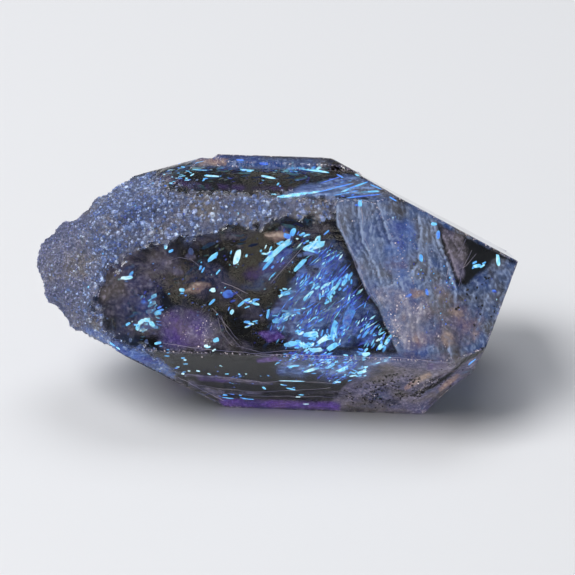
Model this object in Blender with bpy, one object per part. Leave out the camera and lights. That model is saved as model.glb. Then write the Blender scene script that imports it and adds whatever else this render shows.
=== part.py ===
"""A petroleum quartz crystal: one doubly terminated quartz crystal, 30 mm long.

It lies on a prism face, with its long (c) axis along X and its sharp tip towards +X. The -X end is a
blunt, etched nose. The body is a block that is cut by one plane for each crystal face. Raised growth
terraces and the dome of the nose are grown onto it, and one shell-shaped chip is broken off it.
"""
import math
import random

import bmesh
import bpy
from mathutils import Matrix, Vector

MM = 0.001

NAME = "quartz_crystal"
AXIS_HEIGHT = 7.3 * MM      # the long axis above the surface that the crystal lies on
BLANK = 60.0 * MM           # edge of the block that the faces are cut from
WELD = 0.00002              # corners closer than this are one corner
FLAT_ANGLE = math.radians(0.5)
CUT_WIDTH = 1e-9            # a corner this close to a cut lies on it

# Each face is (turn, lean, distance): its turn in degrees about the long axis, from the front (-Y)
# upwards, the lean of its normal in degrees towards +X, and its distance in mm from the centre.
# Prism faces are 60 degrees apart and don't lean.
PRISM_FACES = {
    "front upper": (30, 0, 5.35),
    "front lower": (-30, 0, 6.68),
    "top": (90, 0, 7.0),
    "bottom": (-90, 0, 7.3),
    "back lower": (210, 0, 6.7),
    "back upper": (150, 0, 5.95),
}
# Rhombohedral faces that meet in the tip, distorted by uneven growth, with two narrow ones under it.
TIP_FACES = {
    "tip front": (45, 26.3, 8.5),
    "tip top": (118, 26.7, 8.27),
    "tip under": (-75, 68.8, 13.18),
    "tip under narrow": (-93, 49.5, 11.72),
    "tip front low": (-30, 35.1, 11.85),
    "tip front lower": (-36, 20.2, 9.85),
}
BLUNT_END_FACES = {
    "end front": (32, -28, 9.67),
    "end top": (100, -23, 8.74),
    "end top steep": (107, -38.7, 10.42),
    "end under": (-58, -26.1, 8.56),
    "end back": (165, -34, 10.9),
    "end back lower": (215, -38, 11.5),
    "end cap": (70, -87, 14.75),
}
# Two rings of steep faces taper the blunt end round the nose. Each has the turn of its first face,
# the lean, and the x and the distance from the nose's axis of a point on the faces, in mm.
NOSE_AXIS = (-1.0, 8.8)     # y and z, mm
TAPER_FACES = 8
TAPERS = ((15, -39, -12.9, 3.5), (37.5, -63, -13.9, 2.85))

# Growth terraces: thin plates that stand on one face. Each has the face it stands on, its height in
# mm, how far in mm it hangs over the edges beside it (or, below zero, stands back from them), and its
# side faces (normal, distance in mm).
TERRACE_DEPTH = 1.0         # how far a terrace reaches into the crystal under its face
TERRACES = {
    "top_terrace": ("top", 0.36, 0.06, (
        ((0, -1, 0), -1.75),
        ((-0.80, -0.25, 0.55), 6.5),
        ((0.98, 0, 0.2), 6.1),
    )),
    "back_terrace": ("back upper", 0.22, -0.25, (
        ((-0.93, 0.1, 0.35), 6.2),
        ((0.75, -0.35, 0.56), 3.4),
    )),
    "low_back_terrace": ("back lower", 0.24, -0.3, (
        ((-0.85, 0.2, 0.5), 1.4),
        ((0.9, 0.2, -0.38), 7.0),
    )),
}

# The etched nose is a rough dome that the blunt end runs into: its middle and its half lengths.
NOSE_MIDDLE = (-11.65, -0.8, 8.65)
NOSE_HALF_LENGTHS = (3.4, 3.25, 3.2)
NOSE_DETAIL = 3
NOSE_ROUGHNESS = 0.09       # mm
SEED = 11

# A shell-shaped chip is missing below the tip, on the lower front edge.
CHIP_MIDDLE = (13.6, -10.2, -1.6)
CHIP_RADIUS = 8.05
CHIP_DETAIL = 4

QUARTZ_COLOUR = (0.42, 0.43, 0.50, 1.0)
QUARTZ_ROUGHNESS = 0.12


def face_normal(turn, lean):
    """Normal of a face from its turn about the long axis and its lean towards +X, in degrees."""
    turn, lean = math.radians(turn), math.radians(lean)
    return Vector((math.sin(lean), -math.cos(turn) * math.cos(lean), math.sin(turn) * math.cos(lean)))


def face_plane(turn, lean, distance):
    """Point and normal of a face that is `distance` mm from the middle of the long axis."""
    normal = face_normal(turn, lean)
    return Vector((0, 0, AXIS_HEIGHT)) + normal * distance * MM, normal


def taper_planes(overhang):
    """The rings of steep faces that narrow the blunt end towards the nose."""
    planes = []
    for first_turn, lean, x, radius in TAPERS:
        for step in range(TAPER_FACES):
            turn = first_turn + 360 / TAPER_FACES * step
            point = Vector((x, *NOSE_AXIS)) + face_normal(turn, 0) * (radius + overhang)
            planes.append((point * MM, face_normal(turn, lean)))
    return planes


def body_planes(raised=None, height=0.0, overhang=0.0):
    """All faces of the crystal, moved out by an overhang, with one of them raised by a height."""
    planes = []
    for name, (turn, lean, distance) in {**PRISM_FACES, **TIP_FACES, **BLUNT_END_FACES}.items():
        growth = height if name == raised else overhang
        planes.append(face_plane(turn, lean, distance + growth))
    return planes + taper_planes(overhang)


def cut_block(planes):
    """A block cut flat by each plane in turn, as a closed mesh."""
    block = bmesh.new()
    bmesh.ops.create_cube(block, size=BLANK)
    for point, normal in planes:
        everything = block.verts[:] + block.edges[:] + block.faces[:]
        cut = bmesh.ops.bisect_plane(
            block, geom=everything, dist=CUT_WIDTH, plane_co=point, plane_no=normal, clear_outer=True)
        rim = [item for item in cut["geom_cut"] if isinstance(item, bmesh.types.BMEdge)]
        if rim:
            bmesh.ops.contextual_create(block, geom=rim)
    bmesh.ops.recalc_face_normals(block, faces=block.faces)
    return block


def to_object(shape, name, collection):
    """An object with the shape given, which is used up."""
    mesh = bpy.data.meshes.new(name)
    shape.to_mesh(mesh)
    shape.free()
    item = bpy.data.objects.new(name, mesh)
    collection.objects.link(item)
    return item


def crystal_body():
    """The crystal's faces, without the terraces and the nose."""
    return cut_block(body_planes())


def growth_terrace(host, height, overhang, sides):
    """A plate that stands on the host face, between its side faces."""
    turn, lean, distance = PRISM_FACES[host]
    planes = body_planes(host, height, overhang)
    point, normal = face_plane(turn, lean, distance - TERRACE_DEPTH)
    planes.append((point, -normal))
    for direction, distance in sides:
        normal = Vector(direction).normalized()
        planes.append((Vector((0, 0, AXIS_HEIGHT)) + normal * distance * MM, normal))
    return cut_block(planes)


def etched_nose():
    """The rough dome at the blunt end."""
    rng = random.Random(SEED)
    dome = bmesh.new()
    bmesh.ops.create_icosphere(dome, subdivisions=NOSE_DETAIL, radius=1.0)
    for corner in dome.verts:
        direction = corner.co.normalized()
        corner.co = Vector([part * size for part, size in zip(direction, NOSE_HALF_LENGTHS)])
        corner.co += direction * rng.uniform(-1, 1) * NOSE_ROUGHNESS
    bmesh.ops.scale(dome, vec=(MM, MM, MM), verts=dome.verts)
    bmesh.ops.translate(dome, vec=Vector(NOSE_MIDDLE) * MM, verts=dome.verts)
    return dome


def chip_cutter():
    """The round hollow that the missing chip leaves."""
    cutter = bmesh.new()
    bmesh.ops.create_icosphere(cutter, subdivisions=CHIP_DETAIL, radius=CHIP_RADIUS * MM)
    bmesh.ops.translate(cutter, vec=Vector(CHIP_MIDDLE) * MM, verts=cutter.verts)
    return cutter


def combine(item, other, operation):
    """Joins or cuts the object with another one, which becomes a hidden guide."""
    modifier = item.modifiers.new(operation.title() + "_" + other.name, "BOOLEAN")
    modifier.operation = operation
    modifier.solver = "EXACT"
    modifier.object = other
    other.hide_render = True
    other.display_type = "WIRE"


def apply_modifiers(item):
    """Replaces the object's mesh by what its modifiers make of it."""
    graph = bpy.context.evaluated_depsgraph_get()
    mesh = bpy.data.meshes.new_from_object(item.evaluated_get(graph))
    item.modifiers.clear()
    item.data = mesh


def tidy_mesh(item):
    """Welds what the joins left, and puts the origin under the middle of the crystal."""
    shape = bmesh.new()
    shape.from_mesh(item.data)
    bmesh.ops.remove_doubles(shape, verts=shape.verts, dist=WELD)
    bmesh.ops.dissolve_limit(
        shape, angle_limit=FLAT_ANGLE, verts=shape.verts, edges=shape.edges, delimit=set())
    bmesh.ops.triangulate(shape, faces=shape.faces)
    low = Vector([min(corner.co[axis] for corner in shape.verts) for axis in range(3)])
    high = Vector([max(corner.co[axis] for corner in shape.verts) for axis in range(3)])
    middle = (low + high) / 2
    bmesh.ops.transform(
        shape, matrix=Matrix.Translation((-middle.x, -middle.y, -low.z)), verts=shape.verts)
    bmesh.ops.recalc_face_normals(shape, faces=shape.faces)
    shape.to_mesh(item.data)
    shape.free()


def quartz_material():
    """Clear to hazy quartz, as one plain finish."""
    material = bpy.data.materials.new("quartz")
    material.use_nodes = True
    shader = material.node_tree.nodes["Principled BSDF"]
    shader.inputs["Base Color"].default_value = QUARTZ_COLOUR
    shader.inputs["Roughness"].default_value = QUARTZ_ROUGHNESS
    shader.inputs["Metallic"].default_value = 0.0
    return material


def build():
    """Makes the crystal in a clean scene."""
    for leftover in list(bpy.data.objects):
        bpy.data.objects.remove(leftover)
    parts = bpy.data.collections.new("petroleum_quartz")
    guides = bpy.data.collections.new("guides")
    bpy.context.scene.collection.children.link(parts)
    bpy.context.scene.collection.children.link(guides)

    crystal = to_object(crystal_body(), NAME, parts)
    for name, facts in TERRACES.items():
        combine(crystal, to_object(growth_terrace(*facts), name, guides), "UNION")
    combine(crystal, to_object(etched_nose(), "nose", guides), "UNION")
    combine(crystal, to_object(chip_cutter(), "chip", guides), "DIFFERENCE")
    apply_modifiers(crystal)
    tidy_mesh(crystal)
    crystal.data.materials.clear()
    crystal.data.materials.append(quartz_material())


build()
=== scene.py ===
# %% [markdown]
# # Petroleum quartz
# This lesson finishes one quartz crystal, 30 mm long, that lies on a prism face. Quartz grows as a
# six-sided prism with a point at each end. Here one point is sharp and the other is etched into a
# rough, frosted nose. Petroleum was trapped in it while it grew; its cyan and blue glow inside is
# painted as emission.
# The imported CAD model is the frame: it gives the faces, and the lesson adds what the eye sees.

import math
import random

import bmesh
import bpy
import numpy as np
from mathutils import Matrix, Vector, noise
from mathutils.bvhtree import BVHTree
from mathutils.geometry import delaunay_2d_cdt


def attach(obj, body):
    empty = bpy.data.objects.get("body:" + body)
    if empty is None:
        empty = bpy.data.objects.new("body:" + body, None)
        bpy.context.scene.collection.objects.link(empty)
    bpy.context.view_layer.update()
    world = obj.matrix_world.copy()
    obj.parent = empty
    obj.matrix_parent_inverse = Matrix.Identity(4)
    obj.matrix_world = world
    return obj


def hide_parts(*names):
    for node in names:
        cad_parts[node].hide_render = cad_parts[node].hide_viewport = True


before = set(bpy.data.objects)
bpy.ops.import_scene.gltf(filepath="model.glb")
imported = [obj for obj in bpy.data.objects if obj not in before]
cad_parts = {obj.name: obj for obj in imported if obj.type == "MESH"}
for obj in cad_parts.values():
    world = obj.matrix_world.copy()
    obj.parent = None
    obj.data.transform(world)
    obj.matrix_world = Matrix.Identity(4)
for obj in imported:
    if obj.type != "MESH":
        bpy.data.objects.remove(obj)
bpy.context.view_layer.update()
MM = 0.001
crystal_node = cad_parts["quartz_crystal"]

# %% [markdown]
# ## A few small helpers
# Colours are written as the sRGB hex values that a colour picker shows. Shaders need linear numbers,
# so one function turns them. Another adds a node and wires it, because a material made in code is
# mostly that. The others start a material, turn a shape into a mesh, store a number on each of its
# points, and keep finished pieces together in one collection.

# %% Colours, nodes, meshes and pieces
def linear(hex_colour):
    """An sRGB hex colour as the linear red, green, blue and alpha that shaders use."""
    channels = [int(hex_colour[start:start + 2], 16) / 255 for start in (1, 3, 5)]
    return (*[c / 12.92 if c <= 0.04045 else ((c + 0.055) / 1.055) ** 2.4 for c in channels], 1.0)


def add_node(tree, kind, inputs=None, **settings):
    """Adds a node with its settings. An input is a value, or another node's output to link."""
    made = tree.nodes.new(kind)
    for name, value in settings.items():
        setattr(made, name, value)
    for name, value in (inputs or {}).items():
        if isinstance(value, bpy.types.NodeSocket):
            tree.links.new(value, made.inputs[name])
        else:
            made.inputs[name].default_value = value
    return made


def new_material(name):
    """A new material, its node tree and its shader."""
    made = bpy.data.materials.new(name)
    made.use_nodes = True
    return made, made.node_tree, made.node_tree.nodes["Principled BSDF"]


def to_mesh(shape, name, *materials):
    """Turns a shape into a mesh with its materials. The shape is used up."""
    mesh = bpy.data.meshes.new(name)
    shape.to_mesh(mesh)
    shape.free()
    for material in materials:
        mesh.materials.append(material)
    return mesh


def store(mesh, name, values):
    """Stores a number for each point of a mesh."""
    mesh.attributes.new(name, "FLOAT", "POINT").data.foreach_set("value", values)


def add_object(name, data, collection=None):
    """Puts a mesh, a lamp or a camera into the scene."""
    made = bpy.data.objects.new(name, data)
    (collection or bpy.context.scene.collection).objects.link(made)
    return made


crystal_parts = bpy.data.collections.new("petroleum_quartz")
bpy.context.scene.collection.children.link(crystal_parts)


def add_piece(name, mesh):
    """Makes a mesh a finished piece that rides on the crystal, parented to its root body."""
    piece = add_object(name, mesh, crystal_parts)
    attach(piece, "root")
    print(name, "has", sum(len(face.vertices) - 2 for face in mesh.polygons), "triangles")
    return piece


# %% [markdown]
# ## The camera
# The photograph looks down on the crystal by 30 degrees, from a little to the right of straight on,
# with a long lens. It shows 16 pixels for each millimetre. The camera comes first, because it also
# tells where a detail seen in the photograph lies inside the crystal.

# %% Set up the camera
AZIMUTH = math.radians(4.0)
ELEVATION = math.radians(30.0)
DISTANCE = 250 * MM
AIM = Vector((0.633, -0.179, 6.8)) * MM
FILM = 36.0                 # mm
LENS = 250.4                # mm, so that 36 mm of film covers 575 pixels at 16 pixels a millimetre
FRAME_SIDE = 575            # pixels

TOWARDS_EYE = Vector((
    math.sin(AZIMUTH) * math.cos(ELEVATION),
    -math.cos(AZIMUTH) * math.cos(ELEVATION),
    math.sin(ELEVATION),
))
EYE = AIM + TOWARDS_EYE * DISTANCE
EYE_TURN = TOWARDS_EYE.to_track_quat("Z", "Y")

camera_data = bpy.data.cameras.new("camera")
camera_data.sensor_width = FILM
camera_data.lens = LENS
camera_data.clip_start = 0.01
camera_data.clip_end = 20.0
camera = add_object("camera", camera_data)
bpy.context.scene.camera = camera
camera.location = EYE
camera.rotation_euler = EYE_TURN.to_euler()
print("camera at, mm:", [round(value / MM, 1) for value in camera.location])

# %% [markdown]
# ## Where a detail lies in the crystal
# Light bends as it enters quartz, so a detail isn't straight behind the pixel that shows it. This
# cell follows the line of sight from the camera to the face, bends it there by Snell's law, and goes
# on inside for a given depth. A detail placed in that way shows where the photograph has it, and
# truly lies inside the stone from every other side.

# %% Follow a line of sight into the stone
QUARTZ_IOR = 1.544
FLAT_ANGLE = math.radians(0.5)


def sight_line(x, y):
    """The direction of the line of sight through a pixel of the photograph."""
    film_x = (x / FRAME_SIDE - 0.5) * FILM
    film_y = (0.5 - y / FRAME_SIDE) * FILM
    return (EYE_TURN @ Vector((film_x, film_y, -LENS))).normalized()


def pixel_of(point):
    """The pixel of the photograph at which a point would show, if nothing bent the light."""
    seen = EYE_TURN.inverted() @ (Vector(point) - EYE)
    return (
        (0.5 - seen.x / seen.z * LENS / FILM) * FRAME_SIDE,
        (0.5 + seen.y / seen.z * LENS / FILM) * FRAME_SIDE,
    )


def bend(direction, normal, index):
    """The direction of light after it enters a denser stone."""
    cosine = -direction.dot(normal)
    ratio = 1 / index
    inner = math.sqrt(1 - ratio ** 2 * (1 - cosine ** 2))
    return (direction * ratio + normal * (ratio * cosine - inner)).normalized()


stone = bmesh.new()
stone.from_mesh(crystal_node.data)
bmesh.ops.remove_doubles(stone, verts=stone.verts, dist=0.01 * MM)
bmesh.ops.dissolve_limit(
    stone, angle_limit=FLAT_ANGLE, verts=stone.verts, edges=stone.edges, delimit=set())
stone.normal_update()
stone_tree = BVHTree.FromBMesh(stone)


def inside(x, y, depth):
    """The point at a depth in mm behind the face that shows at a pixel, and that face's normal."""
    direction = sight_line(x, y)
    place, normal, _, _ = stone_tree.ray_cast(EYE, direction)
    if place is None:
        return None, None
    return place + bend(direction, normal, QUARTZ_IOR) * depth * MM, normal


print("whole faces of the crystal:", len(stone.faces))

# %% [markdown]
# ## Where the stone is frosted
# Acidic brine etched parts of this crystal to a sugary frost: the nose, the shoulder beside it, and a
# ragged band under the upper edge of the big front face. Each zone is an outline of a few measured
# corners on the photograph. On the sides that the photograph doesn't show, frost simply gets thicker
# towards the nose. Noise makes every border ragged.

# %% Measure how frosted each place is
FROST_OUTLINE = (
    (146, 166), (166, 189), (196, 193), (260, 194), (336, 198), (337, 214), (312, 219), (288, 214),
    (268, 221), (250, 227), (231, 226), (214, 232), (184, 238), (160, 246), (142, 245), (127, 255),
    (110, 264), (99, 274), (99, 286), (92, 300), (95, 315), (100, 327), (116, 337), (160, 360),
    (176, 376), (172, 384), (120, 366), (66, 334), (30, 300), (25, 250), (50, 215), (100, 180),
)
HAZE_OUTLINE = (
    (338, 200), (378, 190), (434, 214), (440, 236), (452, 268), (470, 284), (494, 262), (522, 262),
    (500, 340), (470, 392), (424, 418), (330, 414), (336, 372), (392, 356), (396, 330), (372, 296),
    (352, 254), (340, 224),
)
RAGGED = 9.0                # pixels that the border of the frost wanders
SOFT = 4.0                  # pixels over which it fades
HAZE_RAGGED = 14            # the same two for the border of the haze
HAZE_SOFT = 9
BAY = 0.6                   # mm, the bays of a border
TOOTH = 0.22                # mm, the small teeth on them
HAZE_CLOUD = 1.4            # mm, the clouds of the haze
HIDDEN_PATCH = 3.4          # mm, the patches of frost on the sides that aren't seen
EDGE_ON = 0.05              # a face that looks less than this towards the eye isn't measured


def depth_in_outline(x, y, outline):
    """How far a pixel lies inside an outline, in pixels. It is below zero outside."""
    corners = np.array(outline, float)
    after = np.roll(corners, -1, axis=0)
    span = after - corners
    offset = np.array((x, y)) - corners
    along = np.clip((offset * span).sum(1) / (span ** 2).sum(1), 0, 1)
    nearest = np.sqrt(((offset - span * along[:, None]) ** 2).sum(1)).min()
    crosses = (corners[:, 1] > y) != (after[:, 1] > y)
    rise = np.where(crosses, after[:, 1] - corners[:, 1], 1.0)
    reach = corners[:, 0] + (y - corners[:, 1]) * span[:, 0] / rise
    within = np.count_nonzero(crosses & (x < reach)) % 2 == 1
    return nearest if within else -nearest


def fade(value, start, end):
    """From 0 at start to 1 at end, with soft ends."""
    share = min(max((value - start) / (end - start), 0.0), 1.0)
    return share * share * (3 - 2 * share)


def clouds(place):
    """A soft cloudy noise, mostly between -1 and 1, at a place given in sizes of a cloud."""
    return noise.fractal(place, 1.0, 2.0, 3)


def frost_at(point, normal):
    """How frosted the surface is at a point, from 0, clear, to 1, sugary."""
    wander = noise.noise(point / (BAY * MM)) + 0.8 * noise.noise(point / (TOOTH * MM))
    if normal.dot(TOWARDS_EYE) > EDGE_ON:
        return fade(depth_in_outline(*pixel_of(point), FROST_OUTLINE) + wander * RAGGED, -SOFT, SOFT)
    x_mm = point.x / MM
    patches = clouds(point / (HIDDEN_PATCH * MM))
    return max(fade(-x_mm + wander * 0.7, 8.6, 11.4), 0.85 * fade(patches + 0.2 * wander, 0.3, 0.5))


def haze_at(point, normal):
    """How finely etched and scratched the surface is, on the hazy right side and elsewhere."""
    wander = clouds(point / (HAZE_CLOUD * MM))
    if normal.dot(TOWARDS_EYE) > EDGE_ON:
        deep = depth_in_outline(*pixel_of(point), HAZE_OUTLINE)
        return fade(deep + wander * HAZE_RAGGED, -HAZE_SOFT, HAZE_SOFT)
    return fade(wander, -0.1, 0.5)


frosty_corners = sum(frost_at(corner.co, corner.normal) > 0.5 for corner in stone.verts)
print("frosted corners of the stone:", frosty_corners, "of", len(stone.verts))

# %% [markdown]
# ## The skin of the crystal
# The CAD faces are large and flat, which is right for the clear windows. Frost needs thousands of
# small facets. So each flat face is filled with new points, dense where it is frosted and sparse
# where it is clear, and a Delaunay triangulation joins them. Flat faces stay exactly flat, so that
# they refract cleanly, and the frosted parts have enough points for real relief.

# %% Fill the faces with points
FINE = 0.115 * MM           # spacing of points in the frost
COARSE = 0.75 * MM          # spacing of points in the clear faces
ROW = 0.866                 # distance between rows of evenly spread points, beside their spacing
JITTER = 0.28               # share of the spacing by which a point is off its place
RIM = 0.09 * MM             # width of the strip along each edge that wear can reach
SEED = 7


def is_frosty(point, normal):
    """Whether a place on the surface needs the fine spacing."""
    return frost_at(point, normal) > 0.02


def split_edges(shape):
    """Adds points along every edge of the crystal, which the faces on both sides share."""
    rails = {}
    for edge in shape.edges:
        start, end = (corner.co.copy() for corner in edge.verts)
        normal = sum((face.normal for face in edge.link_faces), Vector()).normalized()
        steps = max(1, math.ceil((end - start).length / FINE))
        frosty = [is_frosty(start.lerp(end, (i + 0.5) / steps), normal) for i in range(steps)]
        keep = [i for i in range(1, steps) if frosty[i - 1] or frosty[i] or i % 2 == 0]
        rails[edge.index] = [start.lerp(end, i / steps) for i in keep]
    return rails


def fill_face(face, rails, rng):
    """The outline points of a face, the same laid flat, its inner points, and how it lies."""
    outline = []
    for loop in face.loops:
        between = rails[loop.edge.index]
        if loop.edge.verts[0] != loop.vert:
            between = between[::-1]
        outline += [loop.vert.co.copy()] + between
    across = (outline[1] - outline[0]).normalized()
    up = face.normal.cross(across)
    origin = outline[0]
    flat = [Vector(((p - origin).dot(across), (p - origin).dot(up))) for p in outline]
    border = np.array(flat)
    low, high = border.min(0), border.max(0)
    inner = []
    rows = int((high[1] - low[1]) / (FINE * ROW)) + 1
    columns = int((high[0] - low[0]) / FINE) + 1
    coarse = round(COARSE / FINE)
    for row in range(rows + 1):
        for column in range(columns + 1):
            x = low[0] + (column + 0.5 * (row % 2) + rng.uniform(-JITTER, JITTER)) * FINE
            y = low[1] + (row + rng.uniform(-JITTER, JITTER)) * FINE * ROW
            kept_anyway = row % coarse == 0 and column % coarse == 0
            if kept_anyway or is_frosty(origin + across * x + up * y, face.normal):
                inner.append((x, y))
    return outline, flat, inner, (origin, across, up)


# %% Build the refined crystal
def inside_border(points, border, margin):
    """Which points lie inside a border, and at least a margin away from it."""
    points = np.array(points, float).reshape(-1, 2)
    after = np.roll(border, -1, axis=0)
    within = np.zeros(len(points), bool)
    nearest = np.full(len(points), np.inf)
    for corner, follow, side in zip(border, after, after - border):
        offset = points - corner
        along = np.clip((offset @ side) / (side @ side), 0, 1)
        nearest = np.minimum(nearest, np.linalg.norm(offset - np.outer(along, side), axis=1))
        crosses = (corner[1] > points[:, 1]) != (follow[1] > points[:, 1])
        if side[1]:
            reach = corner[0] + (points[:, 1] - corner[1]) * side[0] / side[1]
            within ^= crosses & (points[:, 0] < reach)
    return points[within & (nearest > margin)]


def refine(shape):
    """A new mesh of the crystal with its points spread as the frost needs."""
    rng = random.Random(SEED)
    shape.edges.index_update()
    rails = split_edges(shape)
    refined = bmesh.new()
    made = {}

    def corner_at(place):
        key = tuple(round(value / (0.0005 * MM)) for value in place)
        if key not in made:
            made[key] = refined.verts.new(place)
        return made[key]

    for face in shape.faces:
        outline, flat, inner, (origin, across, up) = fill_face(face, rails, rng)
        border = np.array(flat)
        follow = np.roll(border, -1, axis=0)
        side = (follow - border) / np.linalg.norm(follow - border, axis=1)[:, None]
        strip = (border + follow) / 2 + np.stack((-side[:, 1], side[:, 0]), 1) * RIM
        kept = [Vector(point) for point in inside_border(strip, border, RIM * 0.8)]
        kept += [Vector(point) for point in inside_border(inner, border, RIM * 1.5)]
        ring = list(range(len(flat)))
        places, _, triangles, sources, _, _ = delaunay_2d_cdt(flat + kept, [], [ring], 1, 1e-9)
        spots = []
        for place, source in zip(places, sources):
            known = source[0] if source else None
            if known is not None and known < len(outline):
                spots.append(corner_at(outline[known]))
            else:
                spots.append(refined.verts.new(origin + across * place.x + up * place.y))
        for triangle in triangles:
            refined.faces.new([spots[index] for index in triangle])
    bmesh.ops.remove_doubles(refined, verts=refined.verts, dist=0.002 * MM)
    bmesh.ops.recalc_face_normals(refined, faces=refined.faces)
    return refined


skin = refine(stone)
skin.normal_update()
open_edges = sum(not edge.is_manifold for edge in skin.edges)
print("refined crystal:", len(skin.faces), "triangles,", open_edges, "open edges")

# %% [markdown]
# ## Relief, rounding and wear
# Etching eats edges first, so the frosted parts are rounded before their grain is pressed in. The
# grain is a cell pattern of 0.34 mm with a finer one of 0.15 mm on it, because acid leaves sugar-like
# bumps of about that size, and the nose has lumps of 1.3 mm besides. Sharp edges elsewhere are worn
# by a few hundredths of a millimetre, more in some places than in others. All of this goes inwards.
# The nose of the photographed crystal isn't as even as the CAD faces, so a few low swellings and
# hollows bring its outline to where the photograph has it.

# %% Round, grain and wear the skin
GRAIN = 0.34 * MM
FINE_GRAIN = 0.15 * MM
RELIEF = 0.11 * MM
FINE_RELIEF = 0.05 * MM
LUMP = 1.3 * MM
LUMP_RELIEF = 0.12 * MM
LUMPY = (5.5, 8.5)          # mm from the middle towards the nose, where the lumps fade in
NOSE_END = -10.5 * MM       # x where the nose begins
WEAR = 0.028 * MM
WEAR_LENGTH = 0.2 * MM      # how far wear stays alike along an edge
CHIP_LENGTH = 0.5 * MM      # the same for the small chips in it
SHARP = math.radians(14)
# Where the etched end stands out beyond the plain faces of the CAD model, or (below zero) stays inside
# them: x, y and radius in pixels, and mm.
SWELLINGS = (
    (36, 262, 13, 0.16), (53, 234, 11, -0.42), (74, 219, 10, -0.34), (96, 203, 13, 0.5),
    (116, 188, 14, 0.3), (150, 167, 16, 0.18), (45, 298, 12, 0.3), (71, 328, 12, 0.38),
    (96, 341, 14, 0.18),
)
SWELLINGS_END = 190         # x in pixels, beyond which no swelling reaches


def smooth(shape, corners, times):
    """Rounds the places given, a little each time."""
    for _ in range(times):
        bmesh.ops.smooth_vert(
            shape, verts=corners, factor=0.5, use_axis_x=True, use_axis_y=True, use_axis_z=True)


def cells(point, size):
    """A cell pattern: 1 in the middle of a cell and 0 at its border."""
    near = noise.voronoi(point / size)[0]
    return min((near[1] - near[0]) * 1.6, 1.0)


def swelling_at(x, y):
    """How far the surface stands out at a pixel, in mm."""
    return sum(
        height * math.exp(-((x - middle_x) ** 2 + (y - middle_y) ** 2) / radius ** 2)
        for middle_x, middle_y, radius, height in SWELLINGS)


frost_of = {corner: frost_at(corner.co, corner.normal) for corner in skin.verts}
haze_of = {corner: haze_at(corner.co, corner.normal) for corner in skin.verts}
worn = [
    corner for corner in skin.verts
    if frost_of[corner] < 0.5 and any(
        edge.is_manifold and edge.calc_face_angle() > SHARP for edge in corner.link_edges)
]
etched = [corner for corner in skin.verts if frost_of[corner] > 0.6]
nose = [corner for corner in etched if corner.co.x < NOSE_END]
smooth(skin, etched, 6)
smooth(skin, nose, 30)
skin.normal_update()

moves = {}
for corner in skin.verts:
    dent = (1 - cells(corner.co, GRAIN)) * RELIEF + (1 - cells(corner.co, FINE_GRAIN)) * FINE_RELIEF
    lump = (1 - cells(corner.co, LUMP)) * LUMP_RELIEF * fade(-corner.co.x / MM, *LUMPY)
    x, y = pixel_of(corner.co)
    swelling = swelling_at(x, y) * MM if x < SWELLINGS_END else 0.0
    moves[corner] = (dent + lump - swelling) * frost_of[corner]
for corner in worn:
    chips = max(0.0, noise.noise(corner.co / CHIP_LENGTH) - 0.15)
    moves[corner] += WEAR * (0.5 + 0.5 * noise.noise(corner.co / WEAR_LENGTH) + 5 * chips)
for corner, move in moves.items():
    corner.co -= corner.normal * move
print("etched points:", len(etched), "worn edge points:", len(worn))

# %% [markdown]
# ## Clear quartz, frosted in places
# Quartz bends light by 1.544. The petroleum makes this stone smoky, so light that crosses it is
# absorbed: the clear windows look into a dark olive inside. One material does the whole skin, because
# light that goes in must come out of the same stone. Roughness follows the frost and the haze, which
# were stored on the skin. Grain too fine for the mesh is bumped in at 0.08 mm, and so are the fine
# lines that growth leaves across the prism faces, 0.5 mm apart.

# %% Make the quartz
SMOKE = "#b2aea4"
SMOKE_DENSITY = 420.0       # per metre
BUMP_HEIGHT = 0.05 * MM


def per_mm(size):
    """The scale at which a noise has features of a size in mm."""
    return 1 / (size * MM)


quartz, tree, shader = new_material("smoky_clear_quartz")
shader.inputs["Base Color"].default_value = linear("#ffffff")
shader.inputs["Transmission Weight"].default_value = 1.0
shader.inputs["IOR"].default_value = QUARTZ_IOR
place = add_node(tree, "ShaderNodeTexCoord").outputs["Object"]
frost = add_node(tree, "ShaderNodeAttribute", attribute_name="frost").outputs["Fac"]
haze = add_node(tree, "ShaderNodeAttribute", attribute_name="haze").outputs["Fac"]
cloud = add_node(tree, "ShaderNodeTexNoise", {"Vector": place, "Scale": per_mm(0.9), "Detail": 4.0})
hazy = add_node(tree, "ShaderNodeMath", {0: haze, 1: cloud.outputs["Fac"]}, operation="MULTIPLY")
soft = add_node(
    tree, "ShaderNodeMath", {0: hazy.outputs[0], 1: 0.05, 2: 0.025}, operation="MULTIPLY_ADD")
rough = add_node(tree, "ShaderNodeMath", {0: frost, 1: 0.5, 2: soft.outputs[0]}, operation="MULTIPLY_ADD")
tree.links.new(rough.outputs[0], shader.inputs["Roughness"])
grit = add_node(tree, "ShaderNodeTexNoise", {"Vector": place, "Scale": per_mm(0.08), "Detail": 2.0})
lines_place = add_node(tree, "ShaderNodeMapping", {"Vector": place, "Scale": (1.0, 0.12, 0.12)})
lines = add_node(
    tree, "ShaderNodeTexNoise", {"Vector": lines_place.outputs[0], "Scale": per_mm(0.5), "Detail": 3.0})
grit_height = add_node(tree, "ShaderNodeMath", {0: grit.outputs["Fac"], 1: frost}, operation="MULTIPLY")
height = add_node(
    tree, "ShaderNodeMath", {0: lines.outputs["Fac"], 1: 0.12, 2: grit_height.outputs[0]},
    operation="MULTIPLY_ADD")
bump = add_node(
    tree, "ShaderNodeBump", {"Height": height.outputs[0], "Distance": BUMP_HEIGHT, "Strength": 1.0})
tree.links.new(bump.outputs[0], shader.inputs["Normal"])
smoke = add_node(
    tree, "ShaderNodeVolumeAbsorption", {"Color": linear(SMOKE), "Density": SMOKE_DENSITY})
tree.links.new(smoke.outputs[0], tree.nodes["Material Output"].inputs["Volume"])
print("nodes in the quartz:", len(tree.nodes))

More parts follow.
